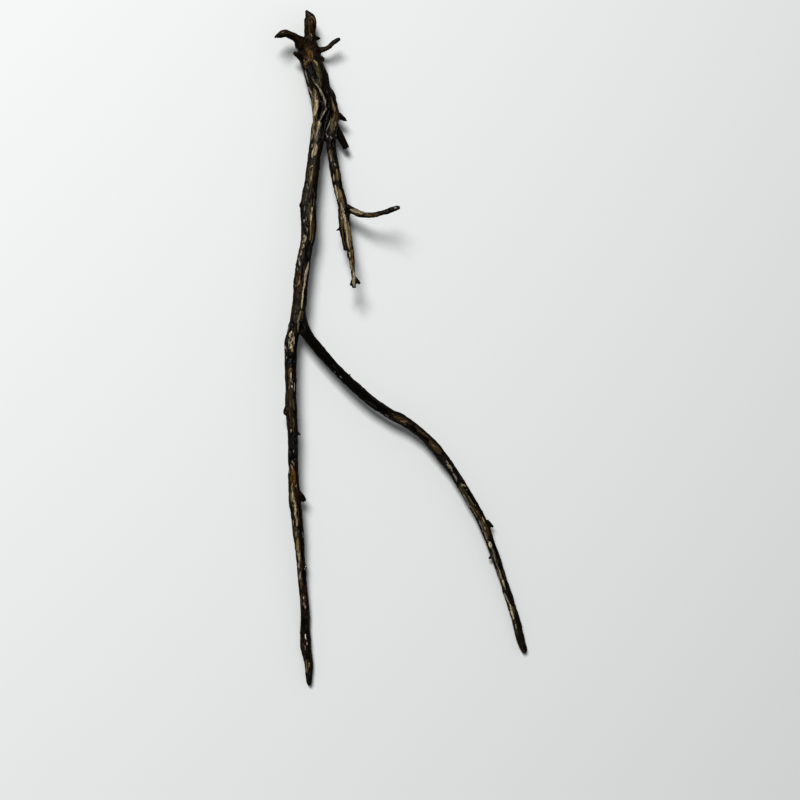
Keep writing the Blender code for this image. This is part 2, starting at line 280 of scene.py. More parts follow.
def growthTree():
    # tubes along the guides, with twisted strands, uneven growth and knots
    tree, start, add = newTree(
        "growLimbs", knots="Object", knotFall="Float", ringStep="Length", ringSides="Int",
        growthLength="Length", growthShare="Float", grooveSharpness="Float", fadeLength="Length")
    kept = {}
    for name in ("thickness", "strands", "depth", "turns", "shift", "along", "toTip", "turn",
                 "reach", "rise"):
        kept[name] = add(recallNode, [name], data_type="FLOAT")
    for name in ("axis", "heading"):
        kept[name] = add(recallNode, [name], data_type="FLOAT_VECTOR")
    place = add("GeometryNodeInputPosition")

    curve = add("GeometryNodeMeshToCurve", {"Mesh": start["shape"]})
    curve = add("GeometryNodeCurveSplineType", {"Curve": curve}, spline_type="CATMULL_ROM")
    curve = add("GeometryNodeResampleCurve", {"Curve": curve, "Length": start["ringStep"]}, mode="LENGTH")
    curve = add("GeometryNodeSetCurveNormal", {"Curve": curve}, mode="Z_UP")
    along = add("GeometryNodeSplineParameter", out="Length")
    whole = add("GeometryNodeSplineLength")
    toTip = add(mathNode, [whole, along], operation="SUBTRACT")
    turn = add(mathNode, [along, kept["turns"]], operation="MULTIPLY")
    turn = add(mathNode, [turn, 2 * math.pi], operation="MULTIPLY")
    tangent = add("GeometryNodeInputTangent")
    for name, kind, value in (("along", "FLOAT", along), ("toTip", "FLOAT", toTip),
                              ("turn", "FLOAT", turn), ("axis", "FLOAT_VECTOR", place),
                              ("heading", "FLOAT_VECTOR", tangent)):
        curve = add(storeNode, {"Geometry": curve, "Name": name, "Value": value}, data_type=kind)
    ring = add("GeometryNodeCurvePrimitiveCircle",
               {"Resolution": start["ringSides"], "Radius": 1.0}, mode="RADIUS")
    tube = add("GeometryNodeCurveToMesh", {
        "Curve": curve, "Profile Curve": ring, "Scale": kept["thickness"], "Fill Caps": True})

    # the angle round the limb, measured from the top and turning with the strands
    outward = add(vectorNode, [place, kept["axis"]], operation="SUBTRACT")
    side = add(vectorNode, [kept["heading"], (0, 0, 1)], operation="CROSS_PRODUCT")
    side = add(vectorNode, [side], operation="NORMALIZE")
    upward = add(vectorNode, [side, kept["heading"]], operation="CROSS_PRODUCT")
    sideways = add(vectorNode, [outward, side], "Value", operation="DOT_PRODUCT")
    upwards = add(vectorNode, [outward, upward], "Value", operation="DOT_PRODUCT")
    angle = add(mathNode, [sideways, upwards], operation="ARCTAN2")
    angle = add(mathNode, [angle, kept["turn"]], operation="SUBTRACT")

    # round strands at the full radius with narrow grooves between them
    half = add(mathNode, [angle, kept["strands"]], operation="MULTIPLY")
    half = add(mathNode, [half, 0.5], operation="MULTIPLY")
    crest = add(mathNode, [half], operation="COSINE")
    crest = add(mathNode, [crest], operation="ABSOLUTE")
    crest = add(mathNode, [crest, start["grooveSharpness"]], operation="POWER")
    groove = add(mathNode, [1.0, crest], operation="SUBTRACT")
    fade = add(mathNode, [kept["along"], kept["toTip"]], operation="MINIMUM")
    fade = add(mathNode, [fade, start["fadeLength"]], operation="DIVIDE", use_clamp=True)
    groove = add(mathNode, [groove, fade], operation="MULTIPLY")
    cut = add(mathNode, [groove, kept["depth"]], operation="MULTIPLY")

    # uneven growth, more and less along and round the limb, from a noise between 0 and 1
    spread = add(combineNode, [start["growthLength"]] * 3)
    swell = add(vectorNode, [place, spread], operation="DIVIDE")
    swell = add(noiseNode, {"Vector": swell, "Scale": 1.0, "Detail": 1.0}, "Fac")
    swell = add(mathNode, [swell, 2.0, -1.0], operation="MULTIPLY_ADD")
    swell = add(mathNode, [swell, start["growthShare"]], operation="MULTIPLY")
    share = add(mathNode, [swell, cut], operation="SUBTRACT")
    move = add(vectorNode, {"Vector": outward, "Scale": share}, operation="SCALE")

    # the nearest knot lifts the surface round it
    knots = add("GeometryNodeObjectInfo", {"Object": start["knots"]}, "Geometry")
    nearest = add("GeometryNodeSampleNearest", {"Geometry": knots, "Sample Position": place}, domain="POINT")
    knot = {}
    for name, kind, value in (("place", "FLOAT_VECTOR", place), ("reach", "FLOAT", kept["reach"]),
                              ("rise", "FLOAT", kept["rise"])):
        knot[name] = add("GeometryNodeSampleIndex",
                         {"Geometry": knots, "Value": value, "Index": nearest}, data_type=kind)
    ratio = add(vectorNode, [place, knot["place"]], "Value", operation="DISTANCE")
    ratio = add(mathNode, [ratio, knot["reach"]], operation="DIVIDE")
    bell = add(mathNode, [ratio, ratio], operation="MULTIPLY")
    bell = add(mathNode, [bell, start["knotFall"]], operation="MULTIPLY")
    bell = add(mathNode, [0.0, bell], operation="SUBTRACT")
    bell = add(mathNode, [bell], operation="EXPONENT")
    lift = add(mathNode, [bell, knot["rise"]], operation="MULTIPLY")
    raised = add(vectorNode, [outward], operation="NORMALIZE")
    raised = add(vectorNode, {"Vector": raised, "Scale": lift}, operation="SCALE")
    move = add(vectorNode, [move, raised], operation="ADD")

    # grain places: across the limb and along it, as if it were straight
    radius = add(vectorNode, [outward], "Value", operation="LENGTH")
    across = add(mathNode, [angle], operation="COSINE")
    across = add(mathNode, [across, radius], operation="MULTIPLY")
    around = add(mathNode, [angle], operation="SINE")
    around = add(mathNode, [around, radius], operation="MULTIPLY")
    length = add(mathNode, [kept["along"], kept["shift"]], operation="ADD")
    grain = add(combineNode, [across, around, length])
    stranded = add(mathNode, [kept["depth"], 0.0], operation="GREATER_THAN")
    groove = add(mathNode, [groove, stranded], operation="MULTIPLY")
    # the groove is kept so that the wood's material paints shade into it
    for name, kind, value in (("grain", "FLOAT_VECTOR", grain), ("groove", "FLOAT", groove)):
        tube = add(storeNode, {"Geometry": tube, "Name": name, "Value": value}, data_type=kind)
    tube = add(moveNode, {"Geometry": tube, "Offset": move})
    return endTree(tree, start, tube)


def growLimbs(spec, wood):
    guides = limbGuides(spec)
    knots = knotPoints(spec)
    addTree(guides, growthTree(), spec, knots=knots, wood=wood)
    limbs = showObject("limbTubes", bakeMesh(guides, "limbTubes"))
    dropObject(guides)
    dropObject(knots)
    print("limbs grown:", len(limbs.data.vertices), "points")
    return limbs


def fuseLimbs(limbs, spec):
    # one even skin over all the limbs, so that they meet in rounded crotches
    remesh = limbs.modifiers.new("fuse", "REMESH")
    remesh.mode = "VOXEL"
    remesh.voxel_size = spec["skinGrid"] * mm
    remesh.use_smooth_shade = True
    skin = showObject("skin", bakeMesh(limbs, "skin"))
    print("limbs fused:", len(skin.data.vertices), "points")
    return skin


# Weathering and colour of the skin

# The camera's view, in which the marks of the wood are placed too.
viewSpec = {
    "place": (-0.52527, -0.03934, 1.12857),  # m
    "tilt": -25,              # degrees off straight down
    "lens": 69.03,            # mm
    "sensor": 36,             # mm
    "side": 800,              # pixels along a side of its picture
    "pixel": 0.78,            # mm that a pixel shows at the root
}

# Each row is one mark of the wood, drawn as it is seen from the camera: (tone, half its
# width, how much it stands out, the spots that it runs through). A spot is (across, down) from the
# top left corner of the picture, and it and the width are in pixels. Washes are broad and soft,
# streaks are worn strands, chips and flecks, a few of them painted glints, and the gaps between
# the strands are sunk and painted near-black as shade.
skinSpec = {
    "evenOut": 2,             # rounds of smoothing after the fusing
    "crackDepth": 0.35,       # mm
    "crackWidth": 1.3,        # mm across the grain
    "crackLength": 14,        # mm along the grain
    "crackShare": 0.06,       # how far from its middle level the noise still cracks the skin
    "crackRoughness": 0.55,
    "crackBend": 0.3,
    "lumpRise": 0.5,          # mm
    "lumpSize": 4.5,          # mm
    "wornRise": 0.3,          # mm, of the worn strands where no mark is listed
    "wornWidth": 3,
    "wornLength": 30,
    "wornFrom": 0.53,         # the level of the noise where worn strands begin
    "wornFull": 0.62,         # and where they are fully worn
    "markedSide": (-0.42, 0.0, 0.91),  # the way to the camera, which the listed marks face
    "turnedFrom": 0.25,       # how far a side faces it where the worn strands begin
    "turnedFull": -0.1,       # and where they are full
    "lowest": (-10.0, -10.0, 0.0),   # m, so that only the height is held, at the ground
    "widthShare": {"washes": 1.15, "streaks": 1.18, "hollows": 1.1},  # of the listed widths
    "riseShare": {"washes": 0, "streaks": 1.6, "hollows": -1.5},      # mm for each 1 that is listed
    "markStep": 0.5,          # mm between the places that a mark is measured from
    # a mark's width follows the sine of the way along it, at least tipShare, to the power tipPower
    "tipShare": 0.04,
    "tipPower": 0.35,
    # how far a layer's marks are solid and where they are gone, as shares of their half width
    "edges": {"washes": (0.3, 1.5), "streaks": (0.65, 1.3), "hollows": (0.3, 1.3)},
    "creaseDepth": {"washes": 0, "streaks": 0.45, "hollows": 0},  # mm, beside each mark
    "creaseWidth": 1.1,       # mm
    "colours": {
        "bone": "#b8ad97", "ivory": "#a59a81", "cream": "#93886f", "oatmeal": "#84796a",
        "straw": "#7c6d4a", "tan": "#695c46", "olive": "#50482f", "gold": "#644c28",
        "amber": "#5f4420", "umber": "#4d3f29", "chestnut": "#3a2814", "rust": "#312114",
        # this grey is worn wood in most streaks, and a painted glint in the small grey streaks at the right
        # leg's fork and the twig's tip
        "walnut": "#2e2617", "greyAndGlint": "#777370", "smoke": "#2e2b25", "pitch": "#0a0805",
        # painted shade, the near-black of the gaps between the strands
        "hollowShade": "#060403",
    },
    "marks": {
        "washes": [
            # crown
            ("chestnut", 4.5, 0, [(309.5, 15), (310, 22), (310, 30), (310.5, 38)]),
            ("chestnut", 3, 0, [(281, 34.5), (286, 33), (292, 35.5), (299, 39.5)]),
            ("chestnut", 3.6, 0, [(307, 40), (308, 46), (306, 53), (305, 60)]),
            ("chestnut", 2, 0, [(321, 50), (326, 49), (330, 45)]),
            ("rust", 2, 0, [(294.5, 53.5), (298.5, 57)]),
            ("rust", 4, 0, [(299, 42), (303, 45), (304, 52)]),
            ("rust", 3, 0, [(315, 40), (315, 48), (316, 56)]),
            ("amber", 3.8, 0, [(310, 50), (310, 56), (309.5, 61)]),
            ("gold", 2.6, 0, [(304.5, 60), (305.5, 66)]),
            ("umber", 1.8, 0, [(304.6, 41), (305, 46), (306.6, 50)]),
            # neck
            ("smoke", 4.5, 0, [(309, 70), (313, 80)]),
            ("smoke", 2.5, 0, [(311, 79), (315, 77), (320, 80)]),
            ("olive", 2.6, 0, [(314, 61), (317.5, 66), (318.5, 72), (319.5, 80), (322, 88)]),
            ("smoke", 3, 0, [(304, 70), (305, 76), (308, 84), (310.5, 90)]),
            # stem
            ("tan", 2, 0, [(310.8, 94), (312.5, 101), (313, 110), (313.2, 120), (312.5, 130), (311.5, 140)]),
            ("tan", 3.2, 0, [(313, 92), (315.5, 100), (315, 110), (314, 120)]),
            ("olive", 3, 0, [(331.5, 116), (333, 124), (333.5, 132)]),
            ("umber", 2.8, 0, [(333, 106), (336, 116), (337, 126)]),
            ("olive", 2.8, 0, [(315, 122), (316, 134), (315.5, 144)]),
            ("walnut", 4, 0, [(312.5, 145), (311, 160), (310, 172), (309.5, 184), (309.5, 198)]),
            ("smoke", 3.2, 0, [(306.5, 184), (306, 198), (305, 214), (304, 228)]),
            ("olive", 2.2, 0, [(311.5, 200), (312.5, 212), (312.5, 226), (311.5, 242)]),
            ("umber", 2, 0, [(303.4, 232), (301, 248), (299, 262)]),
            ("chestnut", 3, 0, [(298, 268), (298, 280), (297, 298)]),
            ("walnut", 3, 0, [(296, 304), (295.4, 311), (295, 319)]),
            ("umber", 1.4, 0, [(302.4, 309), (301.8, 315), (301, 321)]),
            ("walnut", 2.4, 0, [(307.5, 262), (306, 280), (303.6, 296), (302, 312), (300, 322)]),
            ("rust", 2.4, 0, [(302, 312), (300.5, 322)]),
            # left leg
            ("olive", 3.2, 0, [(291.5, 333), (291.5, 342), (291.5, 351)]),
            ("umber", 2.6, 0, [(290.5, 368), (290.5, 380), (290.5, 394), (291.5, 406)]),
            ("rust", 3, 0, [(290.5, 408), (291.5, 424)]),
            ("gold", 3, 0, [(291, 466), (291.5, 476), (292, 484)]),
            ("chestnut", 2.6, 0, [(290, 464), (290.5, 478), (291, 490)]),
            ("chestnut", 2.6, 0, [(290.5, 408), (291.5, 420), (291.5, 430)]),
            ("pitch", 3.6, 0, [(292, 434), (292.5, 444), (292.5, 456)]),
            ("pitch", 4.2, 0, [(290.6, 353), (290.6, 360), (290.6, 366)]),
            ("umber", 2.6, 0, [(507, 600), (510, 608), (514, 618)]),
            ("umber", 3.4, 0, [(292.5, 486), (293.5, 500), (295.5, 514), (297, 526)]),
            ("rust", 2.4, 0, [(297, 480), (298, 492), (299, 504)]),
            ("olive", 3.4, 0, [(295, 527), (297, 538)]),
            ("gold", 3, 0, [(297.5, 538), (298, 550), (299.5, 562)]),
            ("umber", 2.6, 0, [(299.5, 564), (300.5, 574), (301.5, 586)]),
            ("rust", 2.8, 0, [(303.5, 572), (304.5, 584), (305, 592)]),
            ("umber", 2.6, 0, [(303, 594), (304, 606)]),
            ("rust", 2.8, 0, [(303.5, 644), (305, 652)]),
            ("umber", 3.2, 0, [(307, 660), (307.5, 670)]),
            # right leg
            ("pitch", 5.5, 0, [(305, 326), (312, 340), (324, 356), (338, 370), (352, 385), (368, 400),
                (386, 412)]),
            ("umber", 3.6, 0, [(394, 416), (402, 420), (408, 422.5)]),
            ("olive", 1.8, 0, [(413, 426), (419, 430), (426, 436)]),
            ("olive", 3.4, 0, [(429, 440.5), (435, 447.5), (440, 454)]),
            ("smoke", 2.8, 0, [(440, 455), (446, 463), (452, 472), (457, 481)]),
            ("olive", 3, 0, [(460, 484), (464, 493), (470, 504), (477, 516)]),
            ("umber", 3.4, 0, [(474, 508), (480, 518), (485, 528), (488, 539)]),
            ("olive", 2.8, 0, [(491, 547), (494, 556), (497, 566)]),
            ("umber", 3, 0, [(498, 568), (502, 580), (505, 590)]),
            ("umber", 2.8, 0, [(506, 597), (511, 612), (515, 626), (517, 634)]),
            # side branch
            ("umber", 1.9, 0, [(329.4, 148), (330.8, 156), (331.8, 164)]),
            ("walnut", 2.6, 0, [(332.4, 164), (333.6, 172)]),
            ("olive", 3.2, 0, [(337, 169), (338, 181)]),
            ("tan", 3.2, 0, [(338, 188), (340.5, 199), (343, 210)]),
            ("tan", 3.4, 0, [(344, 214), (346, 226), (349, 240), (351, 250)]),
            ("olive", 2.2, 0, [(340.5, 205), (342.5, 220), (344.5, 233)]),
            ("gold", 2.2, 0, [(350, 248), (351.5, 255), (352.5, 264)]),
            ("tan", 2, 0, [(353.5, 270), (354, 286)]),
            # side twig
            ("tan", 2.6, 0, [(350.5, 209.5), (356, 212.3), (362, 214)]),
            ("umber", 1.8, 0, [(365, 215.2), (372, 215.6), (379, 214.6)]),
        ],
        "streaks": [
            # crown
            ("umber", 0.9, 0.2, [(308, 18), (309, 26), (309.5, 34), (309, 42)]),
            ("tan", 0.8, 0.3, [(311, 16.5), (314, 18.5), (315.2, 22), (315.4, 26)]),
            ("tan", 0.7, 0.3, [(306, 30), (306.3, 38), (305, 46)]),
            ("oatmeal", 0.6, 0.3, [(311, 33), (312, 37)]),
            ("umber", 0.9, 0.2, [(284, 33.5), (289, 33.6), (294.5, 36)]),
            ("tan", 0.6, 0.2, [(281, 33), (284.5, 31.5)]),
            ("umber", 0.8, 0.2, [(327, 47), (331, 43.5)]),
            ("amber", 1, 0.3, [(309.5, 49), (308.5, 54), (308, 60)]),
            ("gold", 1, 0.3, [(311, 51), (312, 54), (313.3, 58)]),
            ("straw", 0.8, 0.4, [(303.6, 65.5), (305.8, 62.3), (308.4, 60.3), (310.2, 57.6)]),
            ("straw", 1.1, 0.5, [(313.4, 59.5), (316, 62.3), (318, 66)]),
            ("olive", 0.9, 0.3, [(318.3, 67), (318.7, 73), (319.5, 80), (322, 88)]),
            ("umber", 0.8, 0.4, [(304, 67), (307, 67.8), (309.5, 67)]),
            ("tan", 1.3, 0.3, [(304, 60), (305, 63), (306, 66)]),
            # neck
            ("greyAndGlint", 0.9, 0.3, [(305, 70), (306.3, 76), (308.7, 83)]),
            ("smoke", 1, 0.3, [(308.7, 83), (310.5, 89)]),
            ("olive", 0.8, 0.3, [(311.5, 76), (314, 82), (316, 86)]),
            ("greyAndGlint", 0.5, 0.3, [(308.5, 86.5), (310.8, 90.5), (312.6, 95)]),
            ("smoke", 0.8, 0.4, [(310, 75), (315, 74.5), (318.5, 78.5)]),
            ("oatmeal", 1.1, 0.4, [(308.6, 87), (311.3, 93), (313.6, 99)]),
            ("tan", 1.8, 0.7, [(314, 88), (316, 93), (317, 99)]),
            ("cream", 2.3, 0.9, [(315.5, 94), (316.6, 100), (316.2, 106), (315.2, 112), (314.2, 118)]),
            ("tan", 0.9, 0.6, [(314.6, 118), (313.8, 124), (313.6, 131), (315, 137), (316, 143)]),
            ("ivory", 1.3, 0.6, [(319.4, 120.5), (318.4, 127), (317.8, 130)]),
            ("greyAndGlint", 1.3, 0.6, [(318.2, 129), (317.2, 134), (316.6, 139), (315.8, 144)]),
            ("tan", 1.2, 0.3, [(321.6, 122), (321.2, 128), (320, 134)]),
            ("tan", 1.3, 0.3, [(317.8, 121), (317.6, 127)]),
            ("oatmeal", 1.3, 0.9, [(316.3, 84), (319.2, 88.5), (322, 94), (324.8, 100.5), (325.3, 106)]),
            ("oatmeal", 0.9, 0.9, [(325.3, 105.5), (326, 109.5), (324, 113), (321.6, 117), (320, 121)]),
            ("tan", 1.2, 0.6, [(330.7, 97), (332.2, 101.5), (334, 106.5), (335, 112)]),
            ("greyAndGlint", 0.7, 0.6, [(330, 120.5), (328.6, 125), (326.6, 130), (326, 136)]),
            ("tan", 0.6, 0.3, [(328, 115), (325.8, 118.5)]),
            ("tan", 0.9, 0.4, [(336, 121), (335.8, 127)]),
            ("oatmeal", 0.8, 0.4, [(334.6, 128), (334.6, 130.5)]),
            ("greyAndGlint", 0.8, 0.4, [(327, 135.5), (328, 138)]),
            ("greyAndGlint", 0.7, 0.4, [(330, 136.2), (332.2, 139)]),
            ("greyAndGlint", 0.6, 0.4, [(336, 134), (336, 137.5)]),
            ("smoke", 0.8, 0.5, [(322, 124.5), (320.5, 131), (320, 139)]),
            # stem
            ("cream", 2, 0.5, [(315.6, 143.5), (315.4, 148), (314, 153), (312.4, 158)]),
            ("cream", 1.3, 0.4, [(316.6, 144), (316.2, 150), (314.6, 156)]),
            ("oatmeal", 0.9, 0.3, [(312.6, 142), (312.2, 146.5)]),
            ("tan", 0.7, 0.3, [(312.5, 143), (311, 148)]),
            ("oatmeal", 1.2, 0.4, [(310.3, 167.3), (313.2, 165.8)]),
            ("tan", 1, 0.3, [(312.2, 168), (312, 175), (310.8, 178)]),
            ("oatmeal", 1, 0.4, [(311, 177), (312, 181.5)]),
            ("tan", 0.7, 0.3, [(309.8, 177), (308.8, 181), (310.3, 185)]),
            ("greyAndGlint", 0.7, 0.3, [(306.4, 183), (308, 189)]),
            ("olive", 0.8, 0.3, [(307.6, 191), (306, 197), (305, 203)]),
            ("smoke", 0.7, 0.3, [(313.3, 188), (314, 198)]),
            ("greyAndGlint", 0.9, 0.4, [(305, 206), (304.6, 211)]),
            ("olive", 1.2, 0.2, [(309.8, 168), (310, 178), (309.5, 187)]),
            ("greyAndGlint", 0.9, 0.2, [(314.4, 192), (314.2, 199), (313.6, 208)]),
            ("olive", 1, 0.2, [(309.5, 203), (309.5, 212), (309, 222)]),
            ("cream", 1.3, 0.4, [(312.8, 207), (312, 211)]),
            ("ivory", 1.2, 0.4, [(311.8, 211), (311.2, 216), (310.8, 225)]),
            ("tan", 1.5, 0.4, [(310.8, 226), (310.6, 231), (310, 241)]),
            ("greyAndGlint", 1, 0.4, [(304, 218.5), (304.2, 223)]),
            ("greyAndGlint", 0.5, 0.3, [(306.2, 217), (306.2, 221)]),
            ("oatmeal", 0.6, 0.4, [(305.2, 226.5), (307.2, 228.8), (307, 232)]),
            ("oatmeal", 1.4, 0.5, [(304.2, 234.8), (305.2, 238), (304.4, 242.5)]),
            ("oatmeal", 0.9, 0.4, [(303.2, 239.5), (303.3, 243.5)]),
            ("cream", 0.8, 0.5, [(303.4, 244), (303.8, 246.6), (302, 248.8)]),
            ("oatmeal", 0.8, 0.5, [(301.9, 250.3), (301.4, 253.5), (300.2, 256)]),
            ("oatmeal", 0.6, 0.3, [(299.2, 257.5), (298.6, 262)]),
            ("oatmeal", 0.8, 0.4, [(299.6, 261), (299.8, 266)]),
            ("greyAndGlint", 0.7, 0.3, [(297.6, 266), (297, 271.5)]),
            ("tan", 0.9, 0.4, [(297.6, 275.2), (299.4, 278), (299, 282.5), (296.8, 287)]),
            ("tan", 1, 0.3, [(296, 284.5), (295.2, 288)]),
            ("oatmeal", 1.6, 0.4, [(308.9, 262), (308, 268), (306.5, 272), (305.5, 278), (304.8, 284),
                (304.2, 289)]),
            ("cream", 1.1, 0.5, [(304.3, 283), (303.5, 290), (302.8, 297), (302.1, 304), (301.5, 309)]),
            ("walnut", 0.9, 0.2, [(306.4, 283), (306, 290)]),
            ("umber", 0.8, 0.3, [(300.6, 279), (301, 290)]),
            ("oatmeal", 1.2, 0.4, [(300.6, 311), (299.2, 317), (298, 323)]),
            ("tan", 0.7, 0.3, [(302.4, 311), (301.4, 317)]),
            ("tan", 1, 0.3, [(298.8, 322), (298.4, 328), (298, 333)]),
            ("umber", 0.8, 0.3, [(303.4, 312), (302.6, 319)]),
            # left leg
            ("greyAndGlint", 0.6, 0.4, [(289.5, 324), (288.2, 330), (286.8, 334)]),
            ("bone", 1.3, 0.6, [(291.8, 331.2), (290, 334.5), (290.4, 338)]),
            ("oatmeal", 0.7, 0.6, [(292.8, 331.6), (293.8, 335.5), (294.2, 341), (294, 346)]),
            ("oatmeal", 0.8, 0.5, [(291.6, 336.8), (292.4, 340), (291.2, 342.6)]),
            ("cream", 1, 0.5, [(290, 341.5), (291, 345), (292.4, 347)]),
            ("bone", 1, 0.4, [(289.6, 333), (290.2, 336.5)]),
            ("bone", 0.8, 0.6, [(291.3, 345.8), (289.9, 349.2)]),
            ("oatmeal", 0.8, 0.3, [(289, 338), (288.5, 343), (288.5, 350)]),
            ("straw", 1.2, 0.4, [(292.6, 347.5), (292.6, 352.5)]),
            ("oatmeal", 0.7, 0.5, [(287.8, 342.5), (286.2, 347), (286.6, 352)]),
            ("bone", 0.5, 0.4, [(285.4, 345.5), (285.2, 349.5)]),
            ("greyAndGlint", 0.8, 0.3, [(286.2, 356), (286.5, 359.5)]),
            ("smoke", 0.7, 0.3, [(294.6, 358.5), (294.6, 364.5)]),
            ("umber", 0.9, 0.3, [(288.6, 369), (289.2, 378)]),
            ("tan", 1.2, 0.4, [(290.8, 368), (291.2, 372.5)]),
            ("cream", 1.3, 0.4, [(291.2, 372.5), (291, 378.5)]),
            ("oatmeal", 1, 0.4, [(291.4, 379.5), (291, 382)]),
            ("bone", 0.9, 0.4, [(291.8, 384.8), (292.2, 388)]),
            ("oatmeal", 0.6, 0.3, [(289.5, 380), (293.4, 383.8)]),
            ("tan", 0.7, 0.3, [(289.6, 384), (288.9, 391)]),
            ("greyAndGlint", 0.6, 0.3, [(294.6, 383), (294.5, 391.5)]),
            ("umber", 1.3, 0.3, [(289.4, 391), (290, 399), (290.5, 408)]),
            ("umber", 0.9, 0.3, [(293.2, 399), (294, 405), (294, 411)]),
            ("smoke", 0.8, 0.3, [(294, 401.5), (294.1, 407)]),
            ("umber", 0.8, 0.2, [(289.4, 409), (290, 416), (291, 424)]),
            ("olive", 0.7, 0.2, [(293, 417), (294, 425), (293.5, 433)]),
            ("oatmeal", 0.9, 0.4, [(290.6, 429), (291.6, 432.6)]),
            ("smoke", 0.7, 0.4, [(293, 442.5), (294.5, 446.5)]),
            ("greyAndGlint", 0.5, 0.4, [(290.2, 450.5), (290, 453.5)]),
            ("greyAndGlint", 0.5, 0.4, [(293.7, 450), (293.4, 453.5)]),
            ("oatmeal", 0.7, 0.5, [(291.4, 461), (293.2, 463), (294.6, 466)]),
            ("oatmeal", 0.7, 0.4, [(290.6, 464.3), (291.7, 467), (292.7, 469.5)]),
            ("tan", 0.8, 0.2, [(289.2, 466), (289.2, 474)]),
            ("amber", 1.2, 0.2, [(293.5, 469), (294.8, 475), (295.2, 482)]),
            ("gold", 0.8, 0.2, [(290.5, 476), (291, 482)]),
            ("straw", 1, 0.3, [(292.5, 483), (291.4, 487.5), (292.3, 492)]),
            ("gold", 0.8, 0.2, [(294, 480), (294.5, 487)]),
            ("oatmeal", 0.5, 0.3, [(295.6, 485), (295.7, 487.5)]),
            ("cream", 1.3, 0.4, [(292.3, 491.5), (292.8, 496), (293.8, 503)]),
            ("tan", 1, 0.3, [(290.8, 492), (291, 498), (291.5, 503)]),
            ("oatmeal", 0.9, 0.4, [(293, 505.5), (295.6, 507.2)]),
            ("ivory", 1.1, 0.4, [(294.6, 500), (295.2, 505), (295.6, 511), (295.8, 516)]),
            ("bone", 0.6, 0.4, [(295, 513), (294.6, 516.5)]),
            ("oatmeal", 1.2, 0.4, [(295.8, 516), (296.4, 521), (297.2, 526.5)]),
            ("umber", 0.9, 0.3, [(298.4, 517), (298.8, 523)]),
            ("oatmeal", 0.8, 0.3, [(298.6, 556), (298.8, 563), (299.6, 569)]),
            ("cream", 0.7, 0.3, [(293, 519.5), (293.4, 526)]),
            ("rust", 0.9, 0.2, [(297, 482), (297.4, 497)]),
            ("oatmeal", 0.7, 0.3, [(296.2, 531.5), (295.9, 537)]),
            ("smoke", 0.9, 0.3, [(299.2, 530), (299, 535.5)]),
            ("straw", 1.4, 0.4, [(298, 538), (297.6, 545), (298.2, 552)]),
            ("cream", 1.2, 0.4, [(298.4, 550.5), (299, 556), (299, 561)]),
            ("cream", 0.7, 0.3, [(296.3, 548), (296.8, 552), (297.5, 557)]),
            ("greyAndGlint", 0.8, 0.3, [(302.6, 532), (303.6, 539)]),
            ("umber", 1.1, 0.3, [(301.3, 557), (301.2, 565)]),
            ("greyAndGlint", 0.8, 0.3, [(298.2, 562.5), (298, 568.5)]),
            ("bone", 1, 0.5, [(304.8, 567.5), (306.2, 565.8)]),
            ("bone", 0.7, 0.5, [(304.6, 569), (305.6, 568.6)]),
            ("oatmeal", 0.9, 0.3, [(298.8, 574), (299.3, 582)]),
            ("oatmeal", 0.8, 0.3, [(300.4, 572), (300.8, 580)]),
            ("tan", 0.7, 0.3, [(301, 583), (301.6, 590)]),
            ("oatmeal", 0.8, 0.4, [(302.8, 577.4), (303.4, 578.8)]),
            ("umber", 0.9, 0.3, [(300.6, 583), (300.8, 589)]),
            ("bone", 0.6, 0.4, [(303.5, 596.7), (303.6, 599.2)]),
            ("oatmeal", 0.9, 0.4, [(303.2, 602.6), (304.8, 605), (305.4, 609.4)]),
            ("rust", 0.6, 0.3, [(304.6, 609.5), (304.6, 616)]),
            ("smoke", 0.7, 0.3, [(307.5, 633), (308.2, 636.5)]),
            ("bone", 0.8, 0.5, [(305.5, 634), (305.6, 637.2), (306.6, 640)]),
            ("greyAndGlint", 0.7, 0.4, [(306.6, 641.8), (307.6, 645.5)]),
            ("greyAndGlint", 0.6, 0.3, [(305.1, 646), (305.3, 650)]),
            ("tan", 0.8, 0.3, [(306, 660), (306, 672)]),
            ("tan", 1, 0.4, [(309.2, 662.5), (309.2, 665.5)]),
            ("cream", 0.8, 0.5, [(308.2, 666), (309, 667.2)]),
            ("tan", 0.8, 0.3, [(306.6, 668), (307.1, 673.5)]),
            # right leg, whose three small grey streaks at the fork are painted glints
            ("greyAndGlint", 0.6, 0.3, [(298.6, 329.5), (298.4, 332.5)]),
            ("greyAndGlint", 0.6, 0.3, [(333.8, 371), (336.2, 373.2)]),
            ("greyAndGlint", 0.7, 0.3, [(339.2, 376), (342, 378.4)]),
            ("smoke", 0.8, 0.2, [(333, 364), (336, 369)]),
            ("smoke", 1, 0.3, [(363, 399), (370.4, 403.6), (378, 409)]),
            ("greyAndGlint", 0.8, 0.3, [(385.4, 414.4), (388.4, 417.3)]),
            ("smoke", 0.7, 0.3, [(388, 417), (395, 420)]),
            ("umber", 1.4, 0.3, [(395, 417.5), (400.5, 417.8), (407, 420)]),
            ("tan", 1.3, 0.4, [(400, 420.8), (404, 422.3), (408, 420.6)]),
            ("umber", 1, 0.3, [(403, 423.6), (407, 425.4)]),
            ("umber", 0.9, 0.3, [(391.5, 413.6), (396, 415), (401, 416.4)]),
            ("umber", 0.9, 0.4, [(415.5, 426), (420, 430.6), (425, 434.6), (431, 440)]),
            ("tan", 1, 0.3, [(431, 441), (432.6, 445), (435, 449.5)]),
            ("umber", 1.3, 0.3, [(434, 444), (438, 448.5), (442, 453)]),
            ("smoke", 0.9, 0.3, [(440.5, 455), (444.5, 456.8), (446.4, 460.5)]),
            ("smoke", 0.9, 0.3, [(442.5, 458.5), (446, 463.5)]),
            ("oatmeal", 1.3, 0.4, [(446.4, 461), (448.8, 466), (450.4, 469)]),
